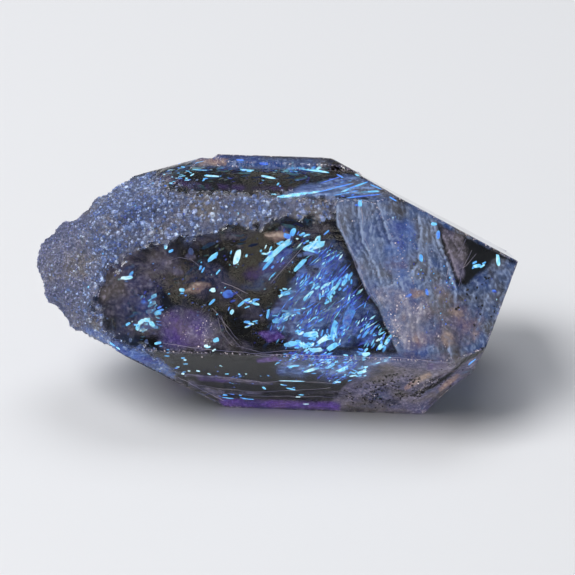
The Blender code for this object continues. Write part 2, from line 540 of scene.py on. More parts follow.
# %% Finish the skin
skin.verts.index_update()
worn_indices = {corner.index for corner in worn}
frost_values = [frost_of[corner] for corner in skin.verts]
haze_values = [haze_of[corner] for corner in skin.verts]
print("skin area, mm2:", round(sum(face.calc_area() for face in skin.faces) / MM ** 2))
skin_mesh = to_mesh(skin, "quartz_skin", quartz)
store(skin_mesh, "frost", frost_values)
store(skin_mesh, "haze", haze_values)
skin_mesh.shade_smooth()
skin_mesh.set_sharp_from_angle(angle=math.radians(24))
skin_piece = add_piece("quartz_skin", skin_mesh)
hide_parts("quartz_crystal")

# %% [markdown]
# ## One tree that strews small bodies over a surface
# Sugar grains, petroleum drops and flakes of healed cracks all lie on a surface in great number: on
# the skin, or on a crack inside the stone. One Geometry Nodes tree does them all. It spreads points
# over a guide mesh, as dense as the guide's "cover" says, puts a small stretched body on each, turns
# it along the crack or at random, and gives each a "tone" for its colour. The bodies have 8 or 20
# faces, because there are thousands of them.

# %% Build the strewing tree
def new_tree(name, inputs):
    """A Geometry Nodes tree with named inputs beside its geometry."""
    tree = bpy.data.node_groups.new(name, "GeometryNodeTree")
    tree.is_modifier = True
    for way in ("INPUT", "OUTPUT"):
        tree.interface.new_socket("Geometry", in_out=way, socket_type="NodeSocketGeometry")
    for label, kind in inputs.items():
        tree.interface.new_socket(label, in_out="INPUT", socket_type="NodeSocket" + kind)
    return tree


def strewing_tree(name, body_kind, body_size, rarity):
    """A tree that strews copies of one low body over a guide mesh. Rarity makes a high tone rarer."""
    tree = new_tree(name, {
        "Density": "Float", "Size": "Vector", "Spread": "Float", "Tilt": "Float", "Spin": "Float",
        "Follow": "Float", "Flow": "Vector", "Lift": "Float", "Deepest": "Float", "Seed": "Int",
        "Material": "Material",
    })
    given = tree.nodes.new("NodeGroupInput").outputs
    cover = add_node(tree, "GeometryNodeInputNamedAttribute", {"Name": "cover"}, data_type="FLOAT")
    dense = add_node(
        tree, "ShaderNodeMath", {0: cover.outputs["Attribute"], 1: given["Density"]},
        operation="MULTIPLY")
    points = add_node(
        tree, "GeometryNodeDistributePointsOnFaces",
        {"Mesh": given["Geometry"], "Density": dense.outputs[0], "Seed": given["Seed"]})
    depth = add_node(
        tree, "FunctionNodeRandomValue", {2: given["Deepest"], 3: given["Lift"], "Seed": 5},
        data_type="FLOAT")
    offset = add_node(
        tree, "ShaderNodeVectorMath", {0: points.outputs["Normal"], "Scale": depth.outputs[1]},
        operation="SCALE")
    moved = add_node(
        tree, "GeometryNodeSetPosition",
        {"Geometry": points.outputs["Points"], "Offset": offset.outputs[0]})
    along = add_node(
        tree, "FunctionNodeAlignRotationToVector",
        {"Rotation": points.outputs["Rotation"], "Factor": given["Follow"], "Vector": given["Flow"]},
        axis="X", pivot_axis="Z")
    most = add_node(
        tree, "ShaderNodeCombineXYZ", {"X": given["Tilt"], "Y": given["Tilt"], "Z": given["Spin"]})
    least = add_node(
        tree, "ShaderNodeVectorMath", {0: most.outputs[0], "Scale": -1.0}, operation="SCALE")
    angles = add_node(
        tree, "FunctionNodeRandomValue", {0: least.outputs[0], 1: most.outputs[0], "Seed": 1},
        data_type="FLOAT_VECTOR")
    jitter = add_node(tree, "FunctionNodeEulerToRotation", {"Euler": angles.outputs[0]})
    turned = add_node(
        tree, "FunctionNodeRotateRotation",
        {"Rotation": along.outputs[0], "Rotate By": jitter.outputs[0]}, rotation_space="LOCAL")
    small = add_node(tree, "ShaderNodeMath", {0: 1.0, 1: given["Spread"]}, operation="SUBTRACT")
    large = add_node(tree, "ShaderNodeMath", {0: 1.0, 1: given["Spread"]}, operation="ADD")
    grow = add_node(
        tree, "FunctionNodeRandomValue", {2: small.outputs[0], 3: large.outputs[0], "Seed": 2},
        data_type="FLOAT")
    scale = add_node(
        tree, "ShaderNodeVectorMath", {0: given["Size"], "Scale": grow.outputs[1]}, operation="SCALE")
    body = add_node(tree, body_kind, body_size)
    copies = add_node(
        tree, "GeometryNodeInstanceOnPoints",
        {"Points": moved.outputs[0], "Instance": body.outputs["Mesh"],
         "Rotation": turned.outputs[0], "Scale": scale.outputs[0]})
    chance = add_node(tree, "FunctionNodeRandomValue", {2: 0.0, 3: 1.0, "Seed": 3}, data_type="FLOAT")
    tone = add_node(tree, "ShaderNodeMath", {0: chance.outputs[1], 1: rarity}, operation="POWER")
    toned = add_node(
        tree, "GeometryNodeStoreNamedAttribute",
        {"Geometry": copies.outputs[0], "Name": "tone", "Value": tone.outputs[0]},
        data_type="FLOAT", domain="INSTANCE")
    real = add_node(tree, "GeometryNodeRealizeInstances", {"Geometry": toned.outputs[0]})
    glint = add_node(tree, "FunctionNodeRandomValue", {2: 0.0, 3: 1.0, "Seed": 4}, data_type="FLOAT")
    faceted = add_node(
        tree, "GeometryNodeStoreNamedAttribute",
        {"Geometry": real.outputs[0], "Name": "facet", "Value": glint.outputs[1]},
        data_type="FLOAT", domain="FACE")
    flat = add_node(
        tree, "GeometryNodeSetShadeSmooth", {"Geometry": faceted.outputs[0], "Shade Smooth": False})
    clad = add_node(
        tree, "GeometryNodeSetMaterial", {"Geometry": flat.outputs[0], "Material": given["Material"]})
    add_node(tree, "NodeGroupOutput", {"Geometry": clad.outputs[0]})
    return tree


crumb_tree = strewing_tree(
    "strew_crumbs", "GeometryNodeMeshIcoSphere", {"Radius": 0.5, "Subdivisions": 1}, 1.5)
flake_tree = strewing_tree(
    "strew_flakes", "GeometryNodeMeshUVSphere", {"Radius": 0.5, "Segments": 4, "Rings": 2}, 2.0)
print("nodes in the strewing tree:", len(crumb_tree.nodes))


# %% Run a tree over a guide
def run_tree(name, guide, tree, values):
    """The plain mesh that a tree makes of a guide mesh, with the inputs given by their names."""
    holder = add_object(name, guide)
    modifier = holder.modifiers.new(name, "NODES")
    modifier.node_group = tree
    for item in tree.interface.items_tree:
        if item.in_out == "INPUT" and item.name in values:
            modifier[item.identifier] = values[item.name]
    graph = bpy.context.evaluated_depsgraph_get()
    mesh = bpy.data.meshes.new_from_object(holder.evaluated_get(graph))
    mesh.name = name
    bpy.data.objects.remove(holder)
    return mesh


def strew(name, tree, guide, per_mm2, size, material, spread=0.6, tilt=0.6, spin=math.pi,
          flow=None, lift=0.0, deepest=0.0, seed=1):
    """Strews bodies of a size in mm over a guide mesh, and makes them one piece."""
    mesh = run_tree(name, guide, tree, {
        "Density": per_mm2 / MM ** 2, "Size": Vector(size) * MM, "Spread": spread, "Tilt": tilt,
        "Spin": spin, "Follow": 1.0 if flow else 0.0, "Flow": flow or (1.0, 0.0, 0.0),
        "Lift": lift * MM, "Deepest": deepest * MM, "Seed": seed, "Material": material,
    })
    return add_piece(name, mesh)


# %% [markdown]
# ## Sugar grains of frosted quartz
# Etched quartz is a crust of tiny crystals that scatter light, so it looks lavender-grey and solid
# beside the dark clear windows. A bed just under the skin gives the even scatter as a painted glow,
# and crumbs of 0.15 mm strewn into the relief give the glitter as painted glints, an emission that
# stands in for facets catching the light. They are finer and duller on the nose, and some in the band
# are twice as large. Their surface is quartz, roughened: a pale dielectric with a broken shine. Its
# colour drifts from lavender to blue-grey and a warm stain over a few mm.

# %% Make the frosted quartz
DRIFT = 2.4                 # mm over which the colour of the frost changes


def drifting_colour(tree, colours, size, own=0.0):
    """A colour that drifts between several over a size in mm, and a little from body to body."""
    place = add_node(tree, "ShaderNodeTexCoord").outputs["Object"]
    drift = add_node(tree, "ShaderNodeTexNoise", {"Vector": place, "Scale": per_mm(size), "Detail": 4.0})
    share = drift.outputs["Fac"]
    if own:
        tone = add_node(tree, "ShaderNodeAttribute", attribute_name="tone").outputs["Fac"]
        share = add_node(
            tree, "ShaderNodeMath", {0: tone, 1: own, 2: share}, operation="MULTIPLY_ADD").outputs[0]
    ramp = add_node(tree, "ShaderNodeValToRGB", {"Fac": share})
    stops = ramp.color_ramp.elements
    stops[0].position, stops[0].color = 0.36 + own / 4, linear(colours[0])
    stops[1].position, stops[1].color = 0.62 + own * 0.8, linear(colours[-1])
    span = stops[1].position - stops[0].position
    for index, colour in enumerate(colours[1:-1], 1):
        stops.new(0.36 + own / 4 + span * index / (len(colours) - 1)).color = linear(colour)
    return ramp.outputs["Color"]


def crumb_material(name, colours, glint_colour, glow, dull=0.05):
    """Crumbs of quartz: a body colour, and painted glints, an emission for facets that catch the light,
    each by its own chance, over a faint painted glow.
    """
    made, tree, shader = new_material(name)
    body = drifting_colour(tree, colours, DRIFT, 0.4)
    facet = add_node(tree, "ShaderNodeAttribute", attribute_name="facet").outputs["Fac"]
    tone = add_node(tree, "ShaderNodeAttribute", attribute_name="tone").outputs["Fac"]
    chance = add_node(tree, "ShaderNodeMath", {0: tone, 1: 0.45}, operation="MULTIPLY")
    caught = add_node(
        tree, "ShaderNodeMath", {0: facet, 1: 0.55, 2: chance.outputs[0]}, operation="MULTIPLY_ADD")
    glint = add_node(tree, "ShaderNodeMath", {0: caught.outputs[0], 1: 3.0}, operation="POWER")
    strength = add_node(
        tree, "ShaderNodeMath", {0: glint.outputs[0], 1: glow, 2: dull}, operation="MULTIPLY_ADD")
    colour = add_node(
        tree, "ShaderNodeMix", {0: glint.outputs[0], 6: body, 7: linear(glint_colour)}, data_type="RGBA")
    tree.links.new(body, shader.inputs["Base Color"])
    tree.links.new(colour.outputs[2], shader.inputs["Emission Color"])
    tree.links.new(strength.outputs[0], shader.inputs["Emission Strength"])
    shader.inputs["Roughness"].default_value = 0.35
    shader.inputs["IOR"].default_value = QUARTZ_IOR
    return made


# The glint colour, glow and dull numbers set the painted glints and the painted glow under them.
frosted = crumb_material(
    "frosted_quartz", ("#465a94", "#5e709c", "#7a84a6", "#88868e"), "#b8d4f4", 1.1, dull=0.15)
fine_frosted = crumb_material(
    "fine_frosted_quartz", ("#565a84", "#626688", "#70708c", "#7c767e"), "#a4b0dc", 0.5, dull=0.2)
crushed = crumb_material(
    "crushed_quartz", ("#6c6684", "#8c8496", "#a89c9c"), "#fff0ec", 1.6, dull=0.34)

frost_bed, tree, shader = new_material("frost_bed")
bed_colour = drifting_colour(tree, ("#46547e", "#586082", "#686a86", "#746e72"), DRIFT)
tree.links.new(bed_colour, shader.inputs["Base Color"])
# The bed's emission is a painted glow that stands in for the light that the frost scatters.
tree.links.new(bed_colour, shader.inputs["Emission Color"])
shader.inputs["Emission Strength"].default_value = 0.3
shader.inputs["Roughness"].default_value = 0.6
place = add_node(tree, "ShaderNodeTexCoord").outputs["Object"]
pits = add_node(tree, "ShaderNodeTexNoise", {"Vector": place, "Scale": per_mm(0.3), "Detail": 3.0})
filled = add_node(
    tree, "ShaderNodeMapRange", {"Value": pits.outputs["Fac"], 1: 0.36, 2: 0.5, 3: 0.25, 4: 0.97})
cover = add_node(tree, "ShaderNodeAttribute", attribute_name="cover").outputs["Fac"]
bed_alpha = add_node(tree, "ShaderNodeMath", {0: filled.outputs[0], 1: cover}, operation="MULTIPLY")
tree.links.new(bed_alpha.outputs[0], shader.inputs["Alpha"])
frost_bed.use_transparent_shadow = False

# %% Lay the bed
BED_DEPTH = 0.16            # mm
FILM_THICKNESS = 0.02       # mm


def thicken(shape, thickness):
    """Gives sheets a thickness in mm, which makes them closed thin films."""
    bmesh.ops.recalc_face_normals(shape, faces=shape.faces)
    shape.normal_update()
    out = {tuple(corner.co): corner.normal.copy() for corner in shape.verts}
    grown = bmesh.ops.extrude_face_region(shape, geom=shape.faces[:], use_keep_orig=True)
    for item in grown["geom"]:
        if isinstance(item, bmesh.types.BMVert):
            item.co -= out[tuple(item.co)] * thickness * MM
    bmesh.ops.recalc_face_normals(shape, faces=shape.faces)


bed = bmesh.new()
bed.from_mesh(skin_mesh)
bed_frost = bed.verts.layers.float["frost"]
bed_cover = bed.verts.layers.float.new("cover")
clear_faces = [face for face in bed.faces if max(corner[bed_frost] for corner in face.verts) < 0.05]
bmesh.ops.delete(bed, geom=clear_faces, context="FACES")
smooth(bed, bed.verts, 1)
bed.normal_update()
for corner in bed.verts:
    corner.co -= corner.normal * BED_DEPTH * MM
    corner[bed_cover] = corner[bed_frost] ** 1.5
thicken(bed, FILM_THICKNESS)
bed_mesh = to_mesh(bed, "frost_bed")
bed_mesh.materials.clear()
bed_mesh.materials.append(frost_bed)
add_piece("frost_bed", bed_mesh)

# %% Strew the sugar grains
HIDDEN_CRUST = -9 * MM      # x, beyond which the far side has grains too
CLUMP = 0.9                 # mm, the size of a clump of grains or drops
ON_NOSE = 0.2               # share of the large grains that the nose has


def skin_guide(values):
    """A copy of the skin to strew on, with how dense it is at each of its points."""
    guide = skin_mesh.copy()
    store(guide, "cover", values)
    return guide


def along_x(start, end):
    """A share for each point of the skin that fades in along the crystal, between two x in mm."""
    return [fade(vertex.co.x / MM, start, end) for vertex in skin_mesh.vertices]


crusted = [
    value ** 2 if vertex.normal.dot(TOWARDS_EYE) > -EDGE_ON or vertex.co.x < HIDDEN_CRUST else 0.0
    for value, vertex in zip(frost_values, skin_mesh.vertices)
]
off_nose = along_x(-13.0, -10.5)
in_clumps = [
    fade(noise.noise(vertex.co / (CLUMP * MM)), -0.3, 0.3) for vertex in skin_mesh.vertices]
crust = skin_guide([value * (ON_NOSE + (1 - ON_NOSE) * off) for value, off in zip(crusted, off_nose)])
nose_crust = skin_guide([value * (1 - off) for value, off in zip(crusted, off_nose)])
band = skin_guide([
    value * off * clump for value, off, clump in zip(crusted, along_x(-12.2, -9.5), in_clumps)])
strew(
    "sugar_grains", crumb_tree, crust, 26.0, (0.15, 0.12, 0.10), frosted,
    lift=-0.02, deepest=-0.08, seed=3)
strew(
    "fine_sugar_grains", crumb_tree, nose_crust, 64.0, (0.12, 0.1, 0.08), fine_frosted,
    spread=0.5, lift=-0.02, deepest=-0.06, seed=7)
strew(
    "coarse_sugar_grains", crumb_tree, band, 9.0, (0.34, 0.27, 0.19), frosted,
    spread=0.5, tilt=0.8, lift=-0.07, deepest=-0.15, seed=4)

# %% [markdown]
# ## Bruised edges and painted edge highlights
# Quartz is hard but brittle, so the sharp edges of an old crystal are bruised into a pale hairline.
# Crumbs of 0.08 mm strewn only on the worn strip along each edge draw it, and their painted glints
# and glow also paint the thin highlight that light leaves along each edge.

# %% Strew the bruises and the painted edge highlights
bruised_and_highlight_guide = skin_guide([float(index in worn_indices) for index in range(len(skin_mesh.vertices))])
strew(
    "bruised_edges_and_painted_highlights", crumb_tree, bruised_and_highlight_guide, 90.0, (0.08, 0.05, 0.04), crushed,
    lift=-0.05, deepest=-0.09, seed=6)

# %% [markdown]
# ## Healed cracks
# A crack that closed again in hot brine leaves a film of tiny pockets, which shows as a blue or
# lavender veil. Each veil here is a thin curved sheet a little behind the face it shows through. Its
# outline is measured on the photograph, and so are the folds that stand on it like the ribs of a
# shell. The film is see-through where its "cover" is low. A fold has a painted highlight on its lit
# side, and painted shade on its other side, where the film thins to show the dark quartz.

# %% Shape the veils
FOLD_WIDTH = 1.2            # pixels
# Folds carry painted light on one side and painted shade, a thinner film, on the other.
FOLD_SHADE = 12.0           # pixels over which a fold fades on its lit side
FOLD_PAINTED_SHADE = 5.0              # pixels of dark, open quartz on its other side
FOLD_HEIGHT = 0.25          # mm
FOLD_WANDER = 2.5           # pixels that a fold strays from its line
RAGGED_SIZE = 16.0          # pixels, the size of the bays of a veil's border and of a fold's wander
SWELL_SIZE = 22.0           # pixels, the size of a veil's own waves
PATCH = 3.0                 # mm, the size of the patches where nothing is measured
SHALLOWEST = 0.06           # mm that a veil stays behind the face
REACH_BACK = 24             # tries to bring a point back that lies beyond the outline of the crystal
FURTHEST_BACK = 0.15        # share of the way to the centre that the last try goes
CENTRE = (278, 284)         # pixels, where such a point is brought back to


def from_line(x, y, line):
    """How far a pixel lies from a line of points: above zero on its right side, below on its left."""
    best = math.inf
    for (x0, y0), (x1, y1) in zip(line, line[1:]):
        along = ((x - x0) * (x1 - x0) + (y - y0) * (y1 - y0)) / ((x1 - x0) ** 2 + (y1 - y0) ** 2)
        held = min(max(along, 0.0), 1.0)
        away = math.hypot(x - x0 - held * (x1 - x0), y - y0 - held * (y1 - y0))
        if away < abs(best):
            side = (x1 - x0) * (y - y0) - (y1 - y0) * (x - x0)
            best = away if side < 0 else -away
    return best


def fold_at(x, y, folds, wander):
    """How high a veil is folded at a pixel with the painted light on its lit side, and how much painted
    shade lies beside the fold.
    """
    ridge_and_highlight, painted_fold_shade = 0.0, 0.0
    for strength, fold in folds:
        away = from_line(x, y, fold) + wander
        lit = math.exp(-away / FOLD_SHADE) * 0.4 if away > 0 else 0.0
        ridge_and_highlight = max(ridge_and_highlight, strength * max(math.exp(-(away / FOLD_WIDTH) ** 2), lit))
        painted_fold_shade = max(painted_fold_shade, strength * fade(away, -FOLD_PAINTED_SHADE, -FOLD_WIDTH) * (away < -FOLD_WIDTH))
    return ridge_and_highlight, painted_fold_shade


def veil_grid(outline, step, seed):
    """Points and triangles that fill an outline of pixels."""
    rng = random.Random(seed)
    corners = np.array(outline, float)
    low, high = corners.min(0), corners.max(0)
    ring = []
    for corner, follow in zip(corners, np.roll(corners, -1, axis=0)):
        steps = max(1, int(np.linalg.norm(follow - corner) / step))
        ring += [corner + (follow - corner) * i / steps for i in range(steps)]
    grid = [
        (low[0] + (i + rng.uniform(-0.3, 0.3)) * step, low[1] + (j + rng.uniform(-0.3, 0.3)) * step)
        for i in range(int((high[0] - low[0]) / step) + 1)
        for j in range(int((high[1] - low[1]) / step) + 1)
    ]
    kept = inside_border(grid, np.array(ring), step * 0.5)
    flat = [Vector(point) for point in ring] + [Vector(point) for point in kept]
    places, _, triangles, _, _, _ = delaunay_2d_cdt(flat, [], [list(range(len(ring)))], 1, 1e-6)
    return places, triangles


def reach_inside(x, y, depth, locate):
    """The point behind a pixel, which is moved towards the centre until it meets the crystal."""
    for tries in range(REACH_BACK):
        held = tries / REACH_BACK * FURTHEST_BACK
        point, _ = locate(x + (CENTRE[0] - x) * held, y + (CENTRE[1] - y) * held, depth)
        if point is not None:
            return point
    return None


def veil_sheet(shape, outline, depth, slope=(0.0, 0.0), folds=(), opacity=0.8, soft=12.0, swell=0.15,
               step=4.0, locate=inside, patchy=False, seed=0):
    """Adds one veil to a mesh: a sheet at a depth in mm behind an outline in pixels."""
    layers = shape.verts.layers.float
    cover_layer = layers.get("cover") or layers.new("cover")
    ridge_layer = layers.get("ridge_and_highlight") or layers.new("ridge_and_highlight")
    middle = np.array(outline, float).mean(0)
    places, triangles = veil_grid(outline, step, seed)
    spots = []
    for x, y in places:
        wander = FOLD_WANDER * noise.noise(Vector((x, y, seed * 3.0)) / RAGGED_SIZE)
        ridge_and_highlight, painted_fold_shade = fold_at(x, y, folds, wander)
        behind = depth + (x - middle[0]) * slope[0] + (y - middle[1]) * slope[1] - FOLD_HEIGHT * ridge_and_highlight
        behind += swell * noise.noise(Vector((x, y, seed * 17.0)) / SWELL_SIZE)
        point = reach_inside(x, y, max(behind, SHALLOWEST), locate)
        if point is None:
            spots.append(None)
            continue
        spot = shape.verts.new(point)
        rough = clouds(Vector((x, y, seed * 7.0)) / RAGGED_SIZE) * soft * 0.7
        rim = depth_in_outline(x, y, outline)
        cover = opacity * fade(rim + rough, 0.0, soft) * fade(rim, 0.0, soft / 3)
        if patchy:
            cover *= fade(clouds(point / (PATCH * MM) + Vector((depth, depth, depth)) * 7), 0.0, 0.4)
        spot[cover_layer] = cover * (1 - 0.7 * painted_fold_shade)
        spot[ridge_layer] = ridge_and_highlight
        spots.append(spot)
    for triangle in triangles:
        corners = [spots[index] for index in triangle]
        if None not in corners:
            shape.faces.new(corners)


def finish_veils(name, shape, material):
    """Gives the veils in a shape their thickness and makes them one piece."""
    thicken(shape, FILM_THICKNESS)
    mesh = to_mesh(shape, name, material)
    mesh.shade_smooth()
    return add_piece(name, mesh)


def lay_veils(name, material, veils):
    """Makes one piece of veils, each given by its outline, its depth in mm and its looks."""
    shape = bmesh.new()
    for outline, depth, looks in veils:
        veil_sheet(shape, outline, depth, **looks)
    return finish_veils(name, shape, material)


# %% [markdown]
# ## The films
# The pockets of a healed crack scatter light, and the petroleum in them glows. So the film of each
# kind of crack has a dark body, a painted glow whose colour drifts over 2 mm, an emission that stands
# in for that scattered light and that glow, painted highlights on its folds and brightest specks, and a
# cover that is thick in places and thin in others, with specks of 0.2 mm. Cracks with much oil are
# blue, those with little are lavender, crushed quartz is pale, stains of iron and two painted
# reflections are tan, and films of painted shade are almost black.

# %% Make the films
def film_material(name, colours, painted_highlight_colour, base_colour, glow, thin=0.35, streak=(1.0, 1.0, 1.0),
                  grain=0.6):
    """A film of pockets with a painted glow, and painted highlights on its folds and specks, thick in
    places and thin in others.
    """
    made, tree, shader = new_material(name)
    place = add_node(tree, "ShaderNodeTexCoord").outputs["Object"]
    drawn = add_node(tree, "ShaderNodeMapping", {"Vector": place, "Scale": streak}).outputs[0]
    cover = add_node(tree, "ShaderNodeAttribute", attribute_name="cover").outputs["Fac"]
    ridge_and_highlight = add_node(tree, "ShaderNodeAttribute", attribute_name="ridge_and_highlight").outputs["Fac"]
    cloud = add_node(tree, "ShaderNodeTexNoise", {"Vector": drawn, "Scale": per_mm(1.2), "Detail": 5.0})
    speck = add_node(tree, "ShaderNodeTexNoise", {"Vector": drawn, "Scale": per_mm(0.2), "Detail": 3.0})
    thick = add_node(
        tree, "ShaderNodeMapRange", {"Value": cloud.outputs["Fac"], 1: 0.36, 2: 0.6, 3: thin, 4: 1.0})
    fine = add_node(
        tree, "ShaderNodeMapRange", {"Value": speck.outputs["Fac"], 1: 0.36, 2: 0.62, 3: grain, 4: 1.1})
    patchy = add_node(
        tree, "ShaderNodeMath", {0: thick.outputs[0], 1: fine.outputs[0]}, operation="MULTIPLY")
    ridged = add_node(
        tree, "ShaderNodeMath", {0: ridge_and_highlight, 1: 0.8, 2: patchy.outputs[0]}, operation="MULTIPLY_ADD")
    veiled = add_node(
        tree, "ShaderNodeMath", {0: ridged.outputs[0], 1: cover}, operation="MULTIPLY", use_clamp=True)
    tree.links.new(veiled.outputs[0], shader.inputs["Alpha"])
    # Painted highlights: the brightest specks and the folds turn the glow towards the highlight colour.
    bright = add_node(
        tree, "ShaderNodeMapRange", {"Value": speck.outputs["Fac"], 1: 0.5, 2: 0.72, 3: 0.0, 4: 0.6})
    lit = add_node(
        tree, "ShaderNodeMath", {0: bright.outputs[0], 1: ridge_and_highlight}, operation="ADD", use_clamp=True)
    drift = drifting_colour(tree, colours, 2.0)
    colour = add_node(
        tree, "ShaderNodeMix", {0: lit.outputs[0], 6: drift, 7: linear(painted_highlight_colour)}, data_type="RGBA")
    tree.links.new(colour.outputs[2], shader.inputs["Emission Color"])
    shader.inputs["Emission Strength"].default_value = glow
    shader.inputs["Base Color"].default_value = linear(base_colour)
    shader.inputs["Roughness"].default_value = 0.5
    made.use_transparent_shadow = False
    return made


blue_film = film_material(
    "healed_crack_blue", ("#33439c", "#4364b8", "#5c78b8", "#5c5c90"), "#9ab8f0", "#22263c", 0.72,
    thin=0.25, streak=(0.5, 1.0, 1.0))
haze_film = film_material(
    "cracked_quartz_haze", ("#2c4a9c", "#42609c", "#545e80", "#5e5a5c"), "#b4c8f2", "#1c2030", 0.66,
    thin=0.4, streak=(1.0, 1.0, 0.45))
lobe_film = film_material(
    "healed_crack_periwinkle", ("#3c48b8", "#5874dc", "#7494ec"), "#b0c8ff", "#22263c", 0.8,
    thin=0.3, streak=(0.5, 1.0, 1.0))
grey_film = film_material(
    "healed_crack_lavender", ("#42487c", "#565480", "#605a70", "#686060"), "#b4acc4", "#2e2c3a", 0.62,
    thin=0.2)
crushed_film = film_material(
    "crushed_quartz_haze", ("#5c5c8c", "#7c7ca0", "#948c98"), "#e0dce8", "#34323e", 0.66, thin=0.3)
violet_film = film_material(
    "violet_oil_film", ("#40287c", "#54368a", "#604484"), "#8a72c4", "#241a48", 0.7)
tan_stain_and_reflection_film = film_material(
    "tan_stain_and_painted_reflection", ("#8c6c72", "#9c8480", "#a89288"), "#d8c4b8", "#4a443e", 0.74, thin=0.5)
# Painted shade: a near-black film that darkens the windows.
dark_painted_shade_film = film_material(
    "painted_shade_films", ("#141416", "#1c1c20"), "#30343c", "#0c0c0e", 0.3, thin=1.0, grain=1.0)

# %% [markdown]
# ## The folded haze at the sharp end
# A long fissure runs down from the upper edge. Right of it the quartz is cracked into parallel ribs,
# which fade into cloudy haze towards the tip. The five main ribs are measured, and fainter ones lie
# between them. Points are in pixels on the photograph.

# %% Lay the folded haze
FISSURE = ((337, 206), (338, 224), (348, 247), (358, 266), (366, 291), (375, 305), (388, 330), (398, 352))
MAIN_FOLDS = (
    FISSURE,
    ((359, 200), (360, 217), (363, 240), (372, 256), (379, 274), (388, 300)),
    ((377, 200), (383, 217), (389, 232), (394, 250), (396, 270), (404, 290)),
    ((419, 212), (420, 240), (418, 262), (410, 275), (391, 285), (376, 290)),
    ((432, 218), (440, 247), (450, 274), (456, 290), (456, 310)),
)
FAINT_FOLD = 0.55
FAINT_PLACES = (0.35, 0.7)  # shares of the way from one main fold to the next


def between(first, second, share):
    """A fold that lies between two others."""
    return tuple(
        (x0 + (x1 - x0) * share, y0 + (y1 - y0) * share)
        for (x0, y0), (x1, y1) in zip(first, second))


RIGHT_FOLDS = (
    *[(1.0, fold) for fold in MAIN_FOLDS],
    *[(FAINT_FOLD, between(first, second, share))
      for first, second in zip(MAIN_FOLDS, MAIN_FOLDS[1:]) for share in FAINT_PLACES],
    (0.9, ((440, 314), (446, 336), (452, 360))), (0.6, ((404, 300), (396, 320), (404, 346))),
    (0.6, ((424, 304), (416, 326), (420, 352))), (0.7, ((428, 290), (436, 312), (432, 350))),
)
TIP_FOLDS = (
    (0.8, ((466, 238), (456, 262), (461, 284))), (0.5, ((500, 268), (486, 300), (474, 340))),
    (0.5, ((478, 284), (468, 310), (462, 346))), (0.4, ((512, 268), (500, 300), (488, 340))),
)
lay_veils("cracked_haze", haze_film, (
    (((333, 197), (376, 199), (410, 205), (436, 218), (443, 244), (453, 270), (458, 290), (456, 364),
      (400, 360), (393, 344), (378, 308), (364, 290), (350, 254), (336, 226)),
     0.55, dict(folds=RIGHT_FOLDS, opacity=0.92, soft=3.0, step=2.0, seed=1)),
    (((452, 280), (465, 284), (494, 256), (522, 260), (512, 300), (498, 330), (486, 352), (452, 364),
      (446, 320)),
     0.4, dict(folds=TIP_FOLDS, opacity=0.72, soft=6.0, step=2.6, seed=2)),
    (((340, 172), (352, 174), (386, 186), (432, 211), (520, 256), (514, 262), (440, 226), (404, 210),
      (372, 202), (344, 186)),
     0.12, dict(opacity=0.8, soft=3.0, step=2.6, seed=3)),
    (((190, 156), (212, 154), (322, 157), (338, 168), (300, 170), (188, 169)),
     0.1, dict(opacity=0.95, soft=3, step=3.0, seed=13)),
))

# %% [markdown]
# ## Blue veils, smooth blue lobes and crushed quartz
# The veil behind the middle of the big window is the largest. Smooth lobes of trapped oil stand on it
# and on the lower face. Where it meets the haze, the quartz is crushed and pale.

# %% Lay the blue veils
lay_veils("blue_veils", blue_film, (
    (((262, 316), (280, 284), (310, 236), (334, 226), (350, 254), (366, 290), (384, 308), (402, 350),
      (396, 358), (300, 358), (262, 344)),
     1.5, dict(slope=(0.012, -0.01), soft=30, opacity=0.7, step=3.0, seed=5, folds=(
         (0.5, ((290, 330), (312, 290), (340, 262))), (0.5, ((310, 350), (336, 310), (356, 284))),
         (0.4, ((340, 350), (356, 320), (374, 304))), (0.5, ((296, 300), (316, 262), (336, 240)))))),
    (((134, 296), (150, 290), (162, 312), (154, 334), (134, 330)), 1.0, dict(opacity=0.5, seed=6)),
    (((272, 197), (300, 184), (322, 180), (352, 174), (384, 188), (386, 200), (330, 199)),
     0.25, dict(opacity=0.55, soft=5, step=2.0, swell=0.03, seed=7, folds=(
         (1.0, ((276, 197), (320, 190), (382, 186))), (0.9, ((322, 186), (346, 178), (360, 177))),
         (0.8, ((300, 196), (350, 192), (384, 196)))))),
    (((70, 320), (100, 332), (126, 343), (174, 368), (176, 384), (120, 360), (70, 330)),
     0.15, dict(opacity=0.85, soft=4, seed=8)),
    (((256, 352), (290, 344), (340, 346), (408, 350), (400, 372), (340, 388), (280, 380)),
     0.3, dict(opacity=0.6, soft=18, folds=((0.6, ((290, 366), (340, 372), (390, 360))),), seed=9)),
    (((236, 290), (258, 262), (296, 236), (322, 228), (296, 262), (262, 300)),
     1.4, dict(opacity=0.5, seed=10)),
    (((384, 218), (404, 212), (420, 222), (422, 250), (413, 276), (396, 286), (380, 268)),
     0.2, dict(opacity=0.7, soft=16, step=3.0, seed=4)),
))

